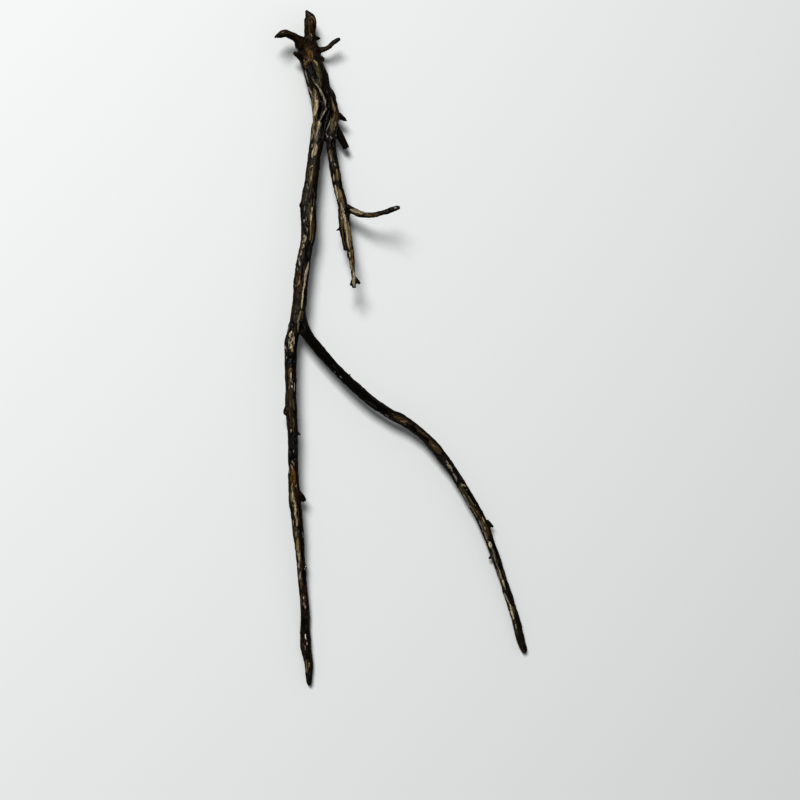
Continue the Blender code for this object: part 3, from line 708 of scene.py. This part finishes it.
            ("oatmeal", 0.9, 0.4, [(449.6, 464.5), (451.4, 468.5), (452.6, 471.5)]),
            ("cream", 0.5, 0.3, [(450.6, 469.4), (452.6, 472)]),
            ("greyAndGlint", 1, 0.3, [(452.8, 473), (455, 477), (457, 482)]),
            ("smoke", 1, 0.3, [(456.5, 474), (459, 480)]),
            ("tan", 0.9, 0.3, [(458, 484), (461, 490), (464, 496)]),
            ("oatmeal", 0.9, 0.5, [(461.4, 482.6), (462, 487)]),
            ("oatmeal", 0.9, 0.5, [(463, 484.6), (466, 487)]),
            ("cream", 0.7, 0.5, [(465.6, 491.6), (467.2, 489)]),
            ("greyAndGlint", 1, 0.3, [(463, 494), (467, 501), (470.5, 508)]),
            ("tan", 0.9, 0.3, [(468.4, 496), (471, 501), (474, 505.4)]),
            ("oatmeal", 0.7, 0.3, [(472, 508), (474.5, 513), (477.5, 518)]),
            ("cream", 0.6, 0.3, [(474.6, 504.4), (475.6, 506.4)]),
            ("tan", 0.8, 0.3, [(470.4, 505.6), (472.4, 509.4)]),
            ("umber", 0.9, 0.3, [(474, 508), (477, 512.6), (479.2, 516.4)]),
            ("oatmeal", 0.6, 0.4, [(476.6, 511), (477.6, 513.4)]),
            ("cream", 0.8, 0.4, [(482.4, 517), (483.6, 520), (485.2, 523.6)]),
            ("tan", 1.4, 0.3, [(481, 521), (483, 526), (485, 531)]),
            ("greyAndGlint", 0.8, 0.3, [(478.5, 520), (481, 526), (483, 532)]),
            ("cream", 0.9, 0.4, [(484.4, 527), (485.6, 530.4)]),
            ("tan", 1.1, 0.3, [(486, 532), (487.4, 540.5)]),
            ("oatmeal", 0.9, 0.3, [(483.8, 531), (486, 537), (488, 542.5)]),
            ("bone", 1.8, 0.5, [(488.8, 541.5), (490.2, 545), (491.2, 548)]),
            ("greyAndGlint", 0.8, 0.3, [(492, 548), (493.6, 552.6), (494.8, 558), (495.8, 562)]),
            ("greyAndGlint", 0.6, 0.3, [(495.2, 562.4), (497, 566), (498.6, 570)]),
            ("oatmeal", 1, 0.4, [(499.4, 570), (500.6, 574), (501.8, 579)]),
            ("tan", 0.9, 0.3, [(496.4, 569), (498.6, 575), (500.4, 581)]),
            ("cream", 1.2, 0.4, [(502.4, 579.5), (504, 584.4), (505.6, 589.4)]),
            ("umber", 0.9, 0.3, [(502.2, 569), (504.4, 577), (506, 584)]),
            ("oatmeal", 1.2, 0.3, [(504.4, 593), (506.4, 598), (508.4, 603)]),
            ("bone", 1.2, 0.5, [(509.6, 604), (511, 609), (512.4, 614), (513.6, 619.4)]),
            ("cream", 1, 0.3, [(508.2, 600), (509.6, 605), (511.6, 611)]),
            ("umber", 0.8, 0.3, [(513, 606), (515.4, 614)]),
            ("oatmeal", 0.9, 0.3, [(515.8, 624), (516, 627), (517, 629.4)]),
            # side branch and its twig
            ("tan", 0.7, 0.3, [(328.8, 151), (328.9, 156)]),
            ("tan", 1, 0.3, [(329.7, 149.5), (330.2, 154)]),
            ("oatmeal", 1, 0.3, [(330.2, 154.5), (330.8, 158.5), (331.8, 162.4)]),
            ("greyAndGlint", 0.8, 0.3, [(334.6, 163), (336, 166.6)]),
            ("tan", 1.1, 0.3, [(336.6, 169), (337.4, 175), (338, 181)]),
            ("oatmeal", 1, 0.3, [(333.6, 173.6), (333.6, 177), (334, 182)]),
            ("cream", 1.3, 0.4, [(335.2, 185), (336, 191), (337.6, 199)]),
            ("straw", 1.9, 0.4, [(339.8, 190), (340.8, 195), (342, 199.4)]),
            ("cream", 1.9, 0.5, [(340.6, 203), (341.8, 209), (343.6, 215), (345, 219)]),
            ("bone", 1.1, 0.5, [(344, 214), (345.8, 222)]),
            ("cream", 1.7, 0.5, [(345, 219), (346.2, 229), (347.4, 238), (348.8, 248)]),
            ("straw", 1.2, 0.4, [(348.6, 222), (349.6, 232), (350.6, 240), (351, 247)]),
            ("olive", 1.3, 0.3, [(340, 205), (341.4, 214), (343, 224), (344.4, 232)]),
            ("oatmeal", 0.9, 0.3, [(341, 214), (342.2, 222)]),
            ("tan", 0.9, 0.3, [(348.4, 252), (349.6, 258), (351, 265)]),
            ("tan", 0.8, 0.3, [(352.2, 249), (352.6, 256)]),
            ("umber", 0.9, 0.3, [(353, 264), (353.4, 272)]),
            ("cream", 1.4, 0.4, [(353.7, 271), (353.8, 280), (354.2, 287)]),
            ("cream", 1.6, 0.4, [(350.6, 209.6), (354.6, 211.8), (358.6, 213.2)]),
            ("straw", 1.6, 0.3, [(357, 212.8), (362.5, 214)]),
            ("oatmeal", 0.8, 0.3, [(353, 208.6), (358, 210.8), (363, 212.4), (368, 213.2)]),
            ("cream", 0.9, 0.3, [(349.6, 247), (349.8, 254), (350.6, 262), (352, 272)]),
            ("umber", 0.9, 0.3, [(341.4, 222), (342.8, 234), (344.6, 247)]),
            ("umber", 0.8, 0.2, [(364, 215.4), (371, 216)]),
            # painted glints near the twig's tip
            ("greyAndGlint", 0.7, 0.3, [(386.4, 211.2), (388, 210.8)]),
            ("greyAndGlint", 1, 0.4, [(393.4, 208.6), (397, 207.6)]),
        ],
        # the gaps between the strands, sunk and painted near-black as shade
        "hollows": [
            # crown and neck
            ("hollowShade", 1.1, 0.5, [(311.6, 65.5), (312.4, 68.5), (312.6, 72)]),
            ("hollowShade", 2.8, 0.9, [(310, 63), (312, 68), (314, 75), (315, 78)]),
            ("hollowShade", 1, 0.9, [(313, 84.5), (317, 89.5), (319.4, 96), (320.2, 103)]),
            ("hollowShade", 1.6, 1.5, [(320.8, 103), (320.2, 109), (318.6, 114), (317.6, 119)]),
            ("hollowShade", 1.2, 0.9, [(321.6, 97), (321.8, 104)]),
            ("hollowShade", 1.6, 1.1, [(321, 86), (325.4, 94), (328, 102), (328.8, 110)]),
            ("hollowShade", 2.2, 1.4, [(328.8, 110), (326, 118), (323.4, 126), (322.6, 134), (322.4, 141)]),
            ("hollowShade", 1.1, 0.9, [(331, 104), (332.6, 112), (331.6, 118)]),
            ("hollowShade", 2.6, 0.7, [(333.6, 140), (332.6, 147)]),
            # stem
            ("hollowShade", 0.7, 0.5, [(315.2, 124.5), (315.2, 132)]),
            ("hollowShade", 0.7, 0.4, [(313.2, 141), (311.6, 147)]),
            ("hollowShade", 1.1, 0.4, [(310.2, 152), (310, 160)]),
            ("hollowShade", 1, 0.4, [(310, 169.4), (313, 170.4)]),
            ("hollowShade", 1, 0.4, [(315.6, 212), (315.8, 222), (315, 232)]),
            ("hollowShade", 1.6, 0.5, [(305.4, 246), (307.5, 254), (307.5, 261)]),
            ("hollowShade", 0.8, 0.4, [(309.5, 228), (309, 240)]),
            ("hollowShade", 1, 0.5, [(303.4, 262), (302.6, 274), (301.6, 282)]),
            ("hollowShade", 1, 0.5, [(305.2, 288), (304.6, 296), (304, 304)]),
            ("hollowShade", 1, 0.4, [(307.6, 276), (306.4, 290), (304.8, 304)]),
            ("hollowShade", 3.2, 0.5, [(303.4, 322), (301.6, 330)]),
            # left leg
            ("hollowShade", 2, 0.5, [(292, 322), (293.4, 328)]),
            ("hollowShade", 0.7, 0.6, [(291.6, 334.4), (291.4, 338.6)]),
            ("hollowShade", 0.5, 0.5, [(291, 349.5), (290.8, 352)]),
            ("hollowShade", 0.8, 0.5, [(295.6, 332), (296, 344), (295.4, 354)]),
            ("hollowShade", 1, 0.5, [(288, 336), (287.6, 341), (288, 353)]),
            ("hollowShade", 3, 0.3, [(290.5, 357), (290.5, 365)]),
            ("hollowShade", 1, 0.4, [(293, 369), (292.8, 380)]),
            ("hollowShade", 3, 0.3, [(293, 434), (293, 441)]),
            ("hollowShade", 3, 0.4, [(292.5, 455.5), (293, 460)]),
            ("hollowShade", 1.1, 0.5, [(297, 461), (298, 472)]),
            ("hollowShade", 1, 0.5, [(291.4, 506), (292.4, 514)]),
            ("hollowShade", 0.8, 0.4, [(297.4, 511), (297.6, 516)]),
            ("hollowShade", 1.4, 0.5, [(302, 538), (302, 550), (303, 562)]),
            ("hollowShade", 2, 0.3, [(303.5, 570), (304.5, 584)]),
            ("hollowShade", 2.4, 0.3, [(303.6, 618), (304, 630)]),
            # right leg
            ("hollowShade", 1.1, 0.6, [(463, 488.2), (465, 488.8)]),
            ("hollowShade", 1.3, 0.5, [(457.5, 474), (460, 479.5)]),
            ("hollowShade", 1.3, 0.5, [(468.5, 491.5), (471.5, 497), (474.6, 503)]),
            ("hollowShade", 1, 0.4, [(479, 509), (484, 518)]),
            ("hollowShade", 2.6, 0.3, [(411, 426), (417, 432)]),
            ("hollowShade", 1.2, 0.5, [(424, 437), (429, 442)]),
            ("hollowShade", 1.2, 0.5, [(492, 540), (496, 551), (498, 560)]),
            ("hollowShade", 1.2, 0.5, [(490, 549), (491.4, 558)]),
            ("hollowShade", 1, 0.4, [(499, 566), (503, 576), (507, 588), (510, 598)]),
            # side branch and its twig
            ("hollowShade", 1.6, 0.5, [(336.2, 181), (337.2, 185)]),
            ("hollowShade", 0.8, 0.4, [(340.2, 201), (341, 202)]),
            ("hollowShade", 0.8, 0.9, [(342.6, 221), (343.9, 230), (345.6, 240), (346.6, 246.5)]),
            ("hollowShade", 0.7, 0.3, [(350.6, 257.5), (351.4, 261)]),
            ("hollowShade", 1.4, 0.4, [(346.6, 208), (349.4, 211.6)]),
        ],
    },
}


def placesOnSkin(skin, spots, view):
    # where the camera's lines of sight through the spots of its picture meet the skin, in mm;
    # a spot beside the root gives no place
    turn = Euler((0, math.radians(view["tilt"]), 0)).to_matrix()
    middle = view["side"] / 2
    ahead = view["lens"] / view["sensor"] * view["side"]
    graph = bpy.context.evaluated_depsgraph_get()
    places = []
    for across, down in spots:
        sight = turn @ Vector((across - middle, middle - down, -ahead))
        met, place, _, _ = skin.ray_cast(Vector(view["place"]), sight.normalized(), depsgraph=graph)
        if met:
            places.append(place / mm)
    return places


def markGuides(skin, layer, spec, view):
    # chains of edges along the marks of one layer, with their colour as three values
    chains = []
    for tone, width, rise, spots in spec["marks"][layer]:
        red, green, blue, _ = hexColour(spec["colours"][tone])
        facts = {"width": width * view["pixel"] * spec["widthShare"][layer] * mm,
                 "rise": rise * spec["riseShare"][layer] * mm,
                 "red": red, "green": green, "blue": blue}
        chains.append((placesOnSkin(skin, spots, view), facts))
    print("marks placed:", len(chains), layer)
    return guideObject(layer, chains, ("width", "rise", "red", "green", "blue"))


def evenTree():
    # takes the steps of the fusing out of the skin, and gives it the grain of the limb below
    tree, start, add = newTree("evenSkin", limbs="Object", evenOut="Int")
    place = add("GeometryNodeInputPosition")
    even = add("GeometryNodeBlurAttribute",
               {"Value": place, "Iterations": start["evenOut"]}, data_type="FLOAT_VECTOR")
    skin = add(moveNode, {"Geometry": start["shape"], "Position": even})
    limbs = add("GeometryNodeObjectInfo", {"Object": start["limbs"]}, "Geometry")
    for name, kind in (("grain", "FLOAT_VECTOR"), ("groove", "FLOAT")):
        below = add(recallNode, [name], data_type=kind)
        below = add("GeometryNodeSampleNearestSurface", {"Mesh": limbs, "Value": below},
                    "Value", data_type=kind)
        skin = add(storeNode, {"Geometry": skin, "Name": name, "Value": below}, data_type=kind)
    return endTree(tree, start, skin)


def markTree():
    # measures how far each point of the skin is from the nearest mark, keeps that as an amount
    # and a colour, keeps the crease beside it for painted shade, and lifts or sinks the skin there
    tree, start, add = newTree(
        "layMarks", guide="Object", markStep="Length", tipShare="Float", tipPower="Float",
        solid="Float", gone="Float", creaseDepth="Float", creaseWidth="Length",
        amountName="String", colourName="String", creaseName="String")
    kept = {}
    for name in ("width", "rise", "red", "green", "blue", "reach"):
        kept[name] = add(recallNode, [name], data_type="FLOAT")
    place = add("GeometryNodeInputPosition")

    # points along each mark, with a reach that tapers towards its ends
    curve = add("GeometryNodeObjectInfo", {"Object": start["guide"]}, "Geometry")
    curve = add("GeometryNodeMeshToCurve", {"Mesh": curve})
    curve = add("GeometryNodeCurveSplineType", {"Curve": curve}, spline_type="CATMULL_ROM")
    curve = add("GeometryNodeResampleCurve", {"Curve": curve, "Length": start["markStep"]}, mode="LENGTH")
    taper = add("GeometryNodeSplineParameter", out="Factor")
    taper = add(mathNode, [taper, math.pi], operation="MULTIPLY")
    taper = add(mathNode, [taper], operation="SINE")
    taper = add(mathNode, [taper, start["tipShare"]], operation="MAXIMUM")
    taper = add(mathNode, [taper, start["tipPower"]], operation="POWER")
    reach = add(mathNode, [taper, kept["width"]], operation="MULTIPLY")
    curve = add(storeNode, {"Geometry": curve, "Name": "reach", "Value": reach}, data_type="FLOAT")
    points = add("GeometryNodeCurveToPoints", {"Curve": curve}, mode="EVALUATED")

    nearest = add("GeometryNodeSampleNearest",
                  {"Geometry": points, "Sample Position": place}, domain="POINT")
    mark = {}
    for name, value in {**kept, "place": place}.items():
        kind = "FLOAT_VECTOR" if name == "place" else "FLOAT"
        mark[name] = add("GeometryNodeSampleIndex",
                         {"Geometry": points, "Value": value, "Index": nearest}, data_type=kind)
    away = add(vectorNode, [place, mark["place"]], "Value", operation="DISTANCE")
    ratio = add(mathNode, [away, mark["reach"]], operation="DIVIDE")
    amount = add(rangeNode, [ratio, start["gone"], start["solid"], 0.0, 1.0],
                 interpolation_type="SMOOTHSTEP")
    colour = add(combineNode, [mark["red"], mark["green"], mark["blue"]])
    ridge = add(mathNode, [ratio, ratio], operation="MULTIPLY")
    ridge = add(mathNode, [1.0, ridge], operation="SUBTRACT", use_clamp=True)
    ridge = add(mathNode, [ridge, mark["rise"]], operation="MULTIPLY")

    # a crease in the skin just beyond the edge of the mark, sunk here and given painted shade in the wood's
    # material
    beyond = add(mathNode, [away, mark["reach"]], operation="SUBTRACT")
    beyond = add(mathNode, [beyond, start["creaseWidth"]], operation="DIVIDE", use_clamp=True)
    crease = add(mathNode, [beyond, math.pi], operation="MULTIPLY")
    crease = add(mathNode, [crease], operation="SINE", use_clamp=True)
    sink = add(mathNode, [crease, start["creaseDepth"]], operation="MULTIPLY")
    ridge = add(mathNode, [ridge, sink], operation="SUBTRACT")
    outward = add("GeometryNodeInputNormal")
    outward = add(vectorNode, {"Vector": outward, "Scale": ridge}, operation="SCALE")

    skin = start["shape"]
    for name, kind, value in ((start["amountName"], "FLOAT", amount),
                              (start["creaseName"], "FLOAT", crease),
                              (start["colourName"], "FLOAT_VECTOR", colour)):
        skin = add(storeNode, {"Geometry": skin, "Name": name, "Value": value}, data_type=kind)
    skin = add(moveNode, {"Geometry": skin, "Offset": outward})
    return endTree(tree, start, skin)


def weatherTree():
    # worn strands on the sides without listed marks, cracks along the grain, and small lumps;
    # the skin is flat where it rests on the ground
    tree, start, add = newTree(
        "weatherSkin", crackDepth="Length", crackWidth="Length", crackLength="Length",
        crackShare="Float", crackRoughness="Float", crackBend="Float", wornRise="Length",
        wornWidth="Length", wornLength="Length", wornFrom="Float", wornFull="Float",
        markedSide="Vector", turnedFrom="Float", turnedFull="Float", lumpRise="Length",
        lumpSize="Length", lowest="Vector")
    place = add("GeometryNodeInputPosition")
    normal = add("GeometryNodeInputNormal")
    grain = add(recallNode, ["grain"], data_type="FLOAT_VECTOR")

    # cracks follow the middle level of a noise that is stretched along the grain
    size = add(combineNode, [start["crackWidth"], start["crackWidth"], start["crackLength"]])
    crack = add(vectorNode, [grain, size], operation="DIVIDE")
    crack = add(noiseNode, {
        "Vector": crack, "Scale": 1.0, "Detail": 2.0, "Roughness": start["crackRoughness"],
        "Distortion": start["crackBend"]}, "Fac")
    crack = add(mathNode, [crack, 0.5], operation="SUBTRACT")
    crack = add(mathNode, [crack], operation="ABSOLUTE")
    crack = add(rangeNode, [crack, 0.0, start["crackShare"], 1.0, 0.0], interpolation_type="SMOOTHSTEP")

    size = add(combineNode, [start["wornWidth"], start["wornWidth"], start["wornLength"]])
    worn = add(vectorNode, [grain, size], operation="DIVIDE")
    worn = add(noiseNode, {"Vector": worn, "Scale": 1.0, "Detail": 2.0}, "Fac")
    worn = add(rangeNode, [worn, start["wornFrom"], start["wornFull"], 0.0, 1.0],
               interpolation_type="SMOOTHSTEP")
    hidden = add(vectorNode, [normal, start["markedSide"]], "Value", operation="DOT_PRODUCT")
    hidden = add(rangeNode, [hidden, start["turnedFrom"], start["turnedFull"], 0.0, 1.0],
                 interpolation_type="SMOOTHSTEP")
    worn = add(mathNode, [worn, hidden], operation="MULTIPLY")
    skin = start["shape"]
    # the cracks are kept so that the wood's material paints shade into them
    for name, value in (("crack", crack), ("worn", worn)):
        skin = add(storeNode, {"Geometry": skin, "Name": name, "Value": value}, data_type="FLOAT")

    size = add(combineNode, [start["lumpSize"]] * 3)
    lumps = add(vectorNode, [place, size], operation="DIVIDE")
    lumps = add(noiseNode, {"Vector": lumps, "Scale": 1.0, "Detail": 2.0}, "Fac")
    rise = add(mathNode, [lumps, 2.0, -1.0], operation="MULTIPLY_ADD")
    rise = add(mathNode, [rise, start["lumpRise"]], operation="MULTIPLY")
    rise = add(mathNode, [worn, start["wornRise"], rise], operation="MULTIPLY_ADD")
    depth = add(mathNode, [crack, start["crackDepth"]], operation="MULTIPLY")
    rise = add(mathNode, [rise, depth], operation="SUBTRACT")
    offset = add(vectorNode, {"Vector": normal, "Scale": rise}, operation="SCALE")
    skin = add(moveNode, {"Geometry": skin, "Offset": offset})
    ground = add(vectorNode, [place, start["lowest"]], operation="MAXIMUM")
    skin = add(moveNode, {"Geometry": skin, "Position": ground})
    return endTree(tree, start, skin)


# Widths, lengths, sizes and rises are in mm. Levels are those of a noise, from 0 to 1.
woodSpec = {
    "bark": "#0d0a05",
    # colours over the bark: (pattern, the levels where it starts and is full, strength, colour)
    "layers": [
        ("fibre", 0.35, 0.7, 1.0, "#251c10"),
        ("mottle", 0.5, 0.75, 0.7, "#27251b"),
        ("wear", 0.6, 0.74, 0.4, "#695c46"),
    ],
    "wornTones": [(0.35, "#695c46"), (0.5, "#93886f"), (0.6, "#644c28"), (0.7, "#51432f")],
    # the near-black painted into cracks, grooves, creases and the sunk gaps between the strands, as the
    # shade in them
    "gap": "#060403",
    "fibreWidth": 0.6,
    "fibreLength": 9,
    "wearWidth": 1.6,
    "wearLength": 12,
    "edgeWidth": 0.9,         # how finely the marks' edges are broken up
    "edgeLength": 4,
    "mottleSize": 6,
    "patternDetail": 3.0,     # octaves of the fibre, wear and edge patterns
    "fibreRise": 0.12,
    "strength": {"washes": 0.9, "worn": 0.9, "streaks": 1.0},  # how far each covers the bark
    "edgeBreak": 0.9,         # how much the edge pattern adds to a mark or takes from it
    "edgeLevels": (0.2, 0.8),  # of a mark with its edge broken up, where it begins and is full
    "fibreShade": (0.3, 0.7, 0.55, 1.2),      # two levels of the fibres, and the marks' shade there
    # cracks are painted this far towards the near-black, as the shade in them
    "crackPaintedShade": 0.75,        # how far cracks go towards the colour of a gap
    # grooves are painted towards the near-black as shade, more where they are deeper
    "groovePaintedShade": (0.3, 1.0, 0.0, 0.7),       # two depths of groove, and how dark each is
    # creases beside the streaks are painted towards the near-black as shade
    "creasePaintedShade": (0.4, 0.6, 0.3, 0.85),      # two levels of wear, and how dark creases are there
    # the sunk gaps between the strands are painted towards the near-black as shade
    "hollowPaintedShade": (0.1, 0.6, 0.0, 1.0),       # two amounts of hollow, and how dark each is
    "roughness": 0.46,
    "roughSpread": 0.3,       # from one mottle to another
    "wornDull": 0.12,         # worn strands are this much rougher
    "specular": 0.12,
}


# Spiderwood: a bare root washed and blasted clean of its bark, dark and resinous, with pale worn
# strands. Its satin skin gives the eye small soft glints on near-black ridges. A few glints are
# painted into its streaks too, and shade is painted into its cracks, grooves, creases and the gaps
# between its strands.
def spiderwoodMaterial(spec):
    material = bpy.data.materials.new("Washed spiderwood, worn strands")
    material.use_nodes = True
    tree = material.node_tree
    add = partial(addNode, tree)
    shader = tree.nodes["Principled BSDF"]
    kept = {}
    for name in ("crack", "groove", "worn", "washesAmount", "streaksAmount", "streaksCreaseShade",
                 "shadedHollowsAmount"):
        kept[name] = add("ShaderNodeAttribute", out="Fac", attribute_name=name)
    for name in ("grain", "washesColour", "streaksColour"):
        kept[name] = add("ShaderNodeAttribute", out="Vector", attribute_name=name)
    noise = {}
    for name in ("fibre", "wear", "edge"):
        width, length = spec[name + "Width"] * mm, spec[name + "Length"] * mm
        spot = add("ShaderNodeMapping", {
            "Vector": kept["grain"], "Scale": (1 / width, 1 / width, 1 / length)})
        noise[name] = add(noiseNode, {"Vector": spot, "Scale": 1.0, "Detail": spec["patternDetail"]}, "Fac")
    place = add("ShaderNodeTexCoord", out="Object")
    noise["mottle"] = add(noiseNode, {
        "Vector": place, "Scale": 1 / (spec["mottleSize"] * mm), "Detail": 2.0}, "Fac")

    colour = hexColour(spec["bark"])
    for name, low, high, strength, over in spec["layers"]:
        amount = add(rangeNode, [noise[name], low, high, 0.0, strength], interpolation_type="SMOOTHSTEP")
        colour = add(mixNode, {
            mixShare: amount, mixUnder: colour, mixOver: hexColour(over)}, mixResult, data_type="RGBA")
    tones = add("ShaderNodeValToRGB", [noise["mottle"]])
    stops = tones.node.color_ramp.elements
    for index, (position, tone) in enumerate(spec["wornTones"]):
        stop = stops[index] if index < len(stops) else stops.new(position)
        stop.position = position
        stop.color = hexColour(tone)

    # the marks, their edges broken up by the grain and their middles by the fibres
    shade = add(rangeNode, [noise["fibre"], *spec["fibreShade"]])
    for layer, amount, over in (("washes", kept["washesAmount"], kept["washesColour"]),
                                ("worn", kept["worn"], tones),
                                ("streaks", kept["streaksAmount"], kept["streaksColour"])):
        ragged = add(mathNode, [noise["edge"], spec["edgeBreak"], -spec["edgeBreak"] / 2],
                     operation="MULTIPLY_ADD")
        ragged = add(mathNode, [ragged, amount], operation="ADD")
        ragged = add(rangeNode, [ragged, *spec["edgeLevels"], 0.0, spec["strength"][layer]],
                     interpolation_type="SMOOTHSTEP")
        over = add(vectorNode, {"Vector": over, "Scale": shade}, operation="SCALE")
        colour = add(mixNode, {
            mixShare: ragged, mixUnder: colour, mixOver: over}, mixResult, data_type="RGBA")

    # painted shade: cracks, grooves, creases and the sunk gaps between the strands are painted nearly black,
    # as the shade in them
    gap = add(mathNode, [kept["crack"], spec["crackPaintedShade"]], operation="MULTIPLY")
    deep = add(rangeNode, [kept["groove"], *spec["groovePaintedShade"]], interpolation_type="SMOOTHSTEP")
    gap = add(mathNode, [gap, deep], operation="MAXIMUM")
    deep = add(rangeNode, [noise["wear"], *spec["creasePaintedShade"]])
    deep = add(mathNode, [kept["streaksCreaseShade"], deep], operation="MULTIPLY")
    gap = add(mathNode, [gap, deep], operation="MAXIMUM")
    deep = add(rangeNode, [kept["shadedHollowsAmount"], *spec["hollowPaintedShade"]], interpolation_type="SMOOTHSTEP")
    gap = add(mathNode, [gap, deep], operation="MAXIMUM")
    colour = add(mixNode, {
        mixShare: gap, mixUnder: colour, mixOver: hexColour(spec["gap"])}, mixResult, data_type="RGBA")
    tree.links.new(colour, shader.inputs["Base Color"])

    # worn wood is duller than the dark skin
    gloss = add(mathNode, [
        noise["mottle"], spec["roughSpread"], spec["roughness"] - spec["roughSpread"] / 2],
        operation="MULTIPLY_ADD")
    gloss = add(mathNode, [kept["streaksAmount"], spec["wornDull"], gloss], operation="MULTIPLY_ADD")
    tree.links.new(gloss, shader.inputs["Roughness"])
    shader.inputs["Specular IOR Level"].default_value = spec["specular"]
    bump = add("ShaderNodeBump", {
        "Height": noise["fibre"], "Distance": spec["fibreRise"] * mm, "Strength": 1.0})
    tree.links.new(bump, shader.inputs["Normal"])
    return material


def finishSkin(limbs, skin, spec, view, wood):
    # lays every layer of marks on the skin, weathers it and makes it a plain mesh
    addTree(skin, evenTree(), spec, limbs=limbs, wood=wood)
    marking = markTree()
    guides = {layer: markGuides(skin, layer, spec, view) for layer in spec["marks"]}
    for layer, guide in guides.items():
        solid, gone = spec["edges"][layer]
        addTree(skin, marking, spec, guide=guide, solid=solid, gone=gone,
                creaseDepth=spec["creaseDepth"][layer] * mm, amountName=layer + "Amount",
                colourName=layer + "Colour", creaseName=layer + "CreaseShade", wood=wood)
    addTree(skin, weatherTree(), spec, wood=wood)
    mesh = bakeMesh(skin, "weathered_root")
    for guide in guides.values():
        dropObject(guide)
    return mesh


def makeRoot():
    wood = spiderwoodMaterial(woodSpec)
    limbs = growLimbs(rootSpec, wood)
    skin = fuseLimbs(limbs, rootSpec)
    root = showObject("weathered_root", finishSkin(limbs, skin, skinSpec, viewSpec, wood))
    root.data.shade_smooth()
    dropObject(skin)
    dropObject(limbs)
    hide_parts("spiderwood_root")
    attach(root, "root")
    triangles = sum(len(face.vertices) - 2 for face in root.data.polygons)
    print("root finished:", triangles, "triangles")


# The studio: a pale floor, soft light and the camera, which sees what viewSpec says

studioSpec = {
    "floorSize": 6,                                # m
    "floorColour": "#c0c1c0",
    "floorRoughness": 0.9,
    "keyPlace": (-2.2, 1.9, 3.4),                  # m
    "keySize": 1.4,
    "keyPower": 222,                               # W
    "skyColour": "#e9ebee",
    "skyStrength": 0.3,
    "look": "High Contrast",
}


# Painted board: its flat, even grey-white gives the eye nothing but the root's shadow.
def floorMaterial(spec):
    material = bpy.data.materials.new("Painted board, matt")
    material.use_nodes = True
    shader = material.node_tree.nodes["Principled BSDF"]
    shader.inputs["Base Color"].default_value = hexColour(spec["floorColour"])
    shader.inputs["Roughness"].default_value = spec["floorRoughness"]
    return material


def makeStudio(spec, view):
    half = spec["floorSize"] / 2
    mesh = bpy.data.meshes.new("studioFloor")
    mesh.from_pydata([(-half, -half, 0), (half, -half, 0), (half, half, 0), (-half, half, 0)],
                     [], [(0, 1, 2, 3)])
    mesh.materials.append(floorMaterial(spec))
    floor = showObject("studioFloor", mesh)

    lamp = bpy.data.lights.new("keyLight", "AREA")
    lamp.energy = spec["keyPower"]
    lamp.size = spec["keySize"]
    key = showObject("keyLight", lamp)
    key.location = spec["keyPlace"]
    key.rotation_euler = (-Vector(spec["keyPlace"])).to_track_quat("-Z", "Y").to_euler()

    world = bpy.data.worlds.new("softSky")
    world.use_nodes = True
    sky = world.node_tree.nodes["Background"].inputs
    sky["Color"].default_value = hexColour(spec["skyColour"])
    sky["Strength"].default_value = spec["skyStrength"]
    bpy.context.scene.world = world

    data = bpy.data.cameras.new("camera")
    data.lens = view["lens"]
    data.sensor_width = view["sensor"]
    camera = showObject("camera", data)
    camera.location = view["place"]
    camera.rotation_euler = (0, math.radians(view["tilt"]), 0)
    bpy.context.scene.camera = camera
    bpy.context.scene.view_settings.view_transform = "Standard"
    bpy.context.scene.view_settings.look = spec["look"]
    print("studio ready")


makeStudio(studioSpec, viewSpec)
makeRoot()
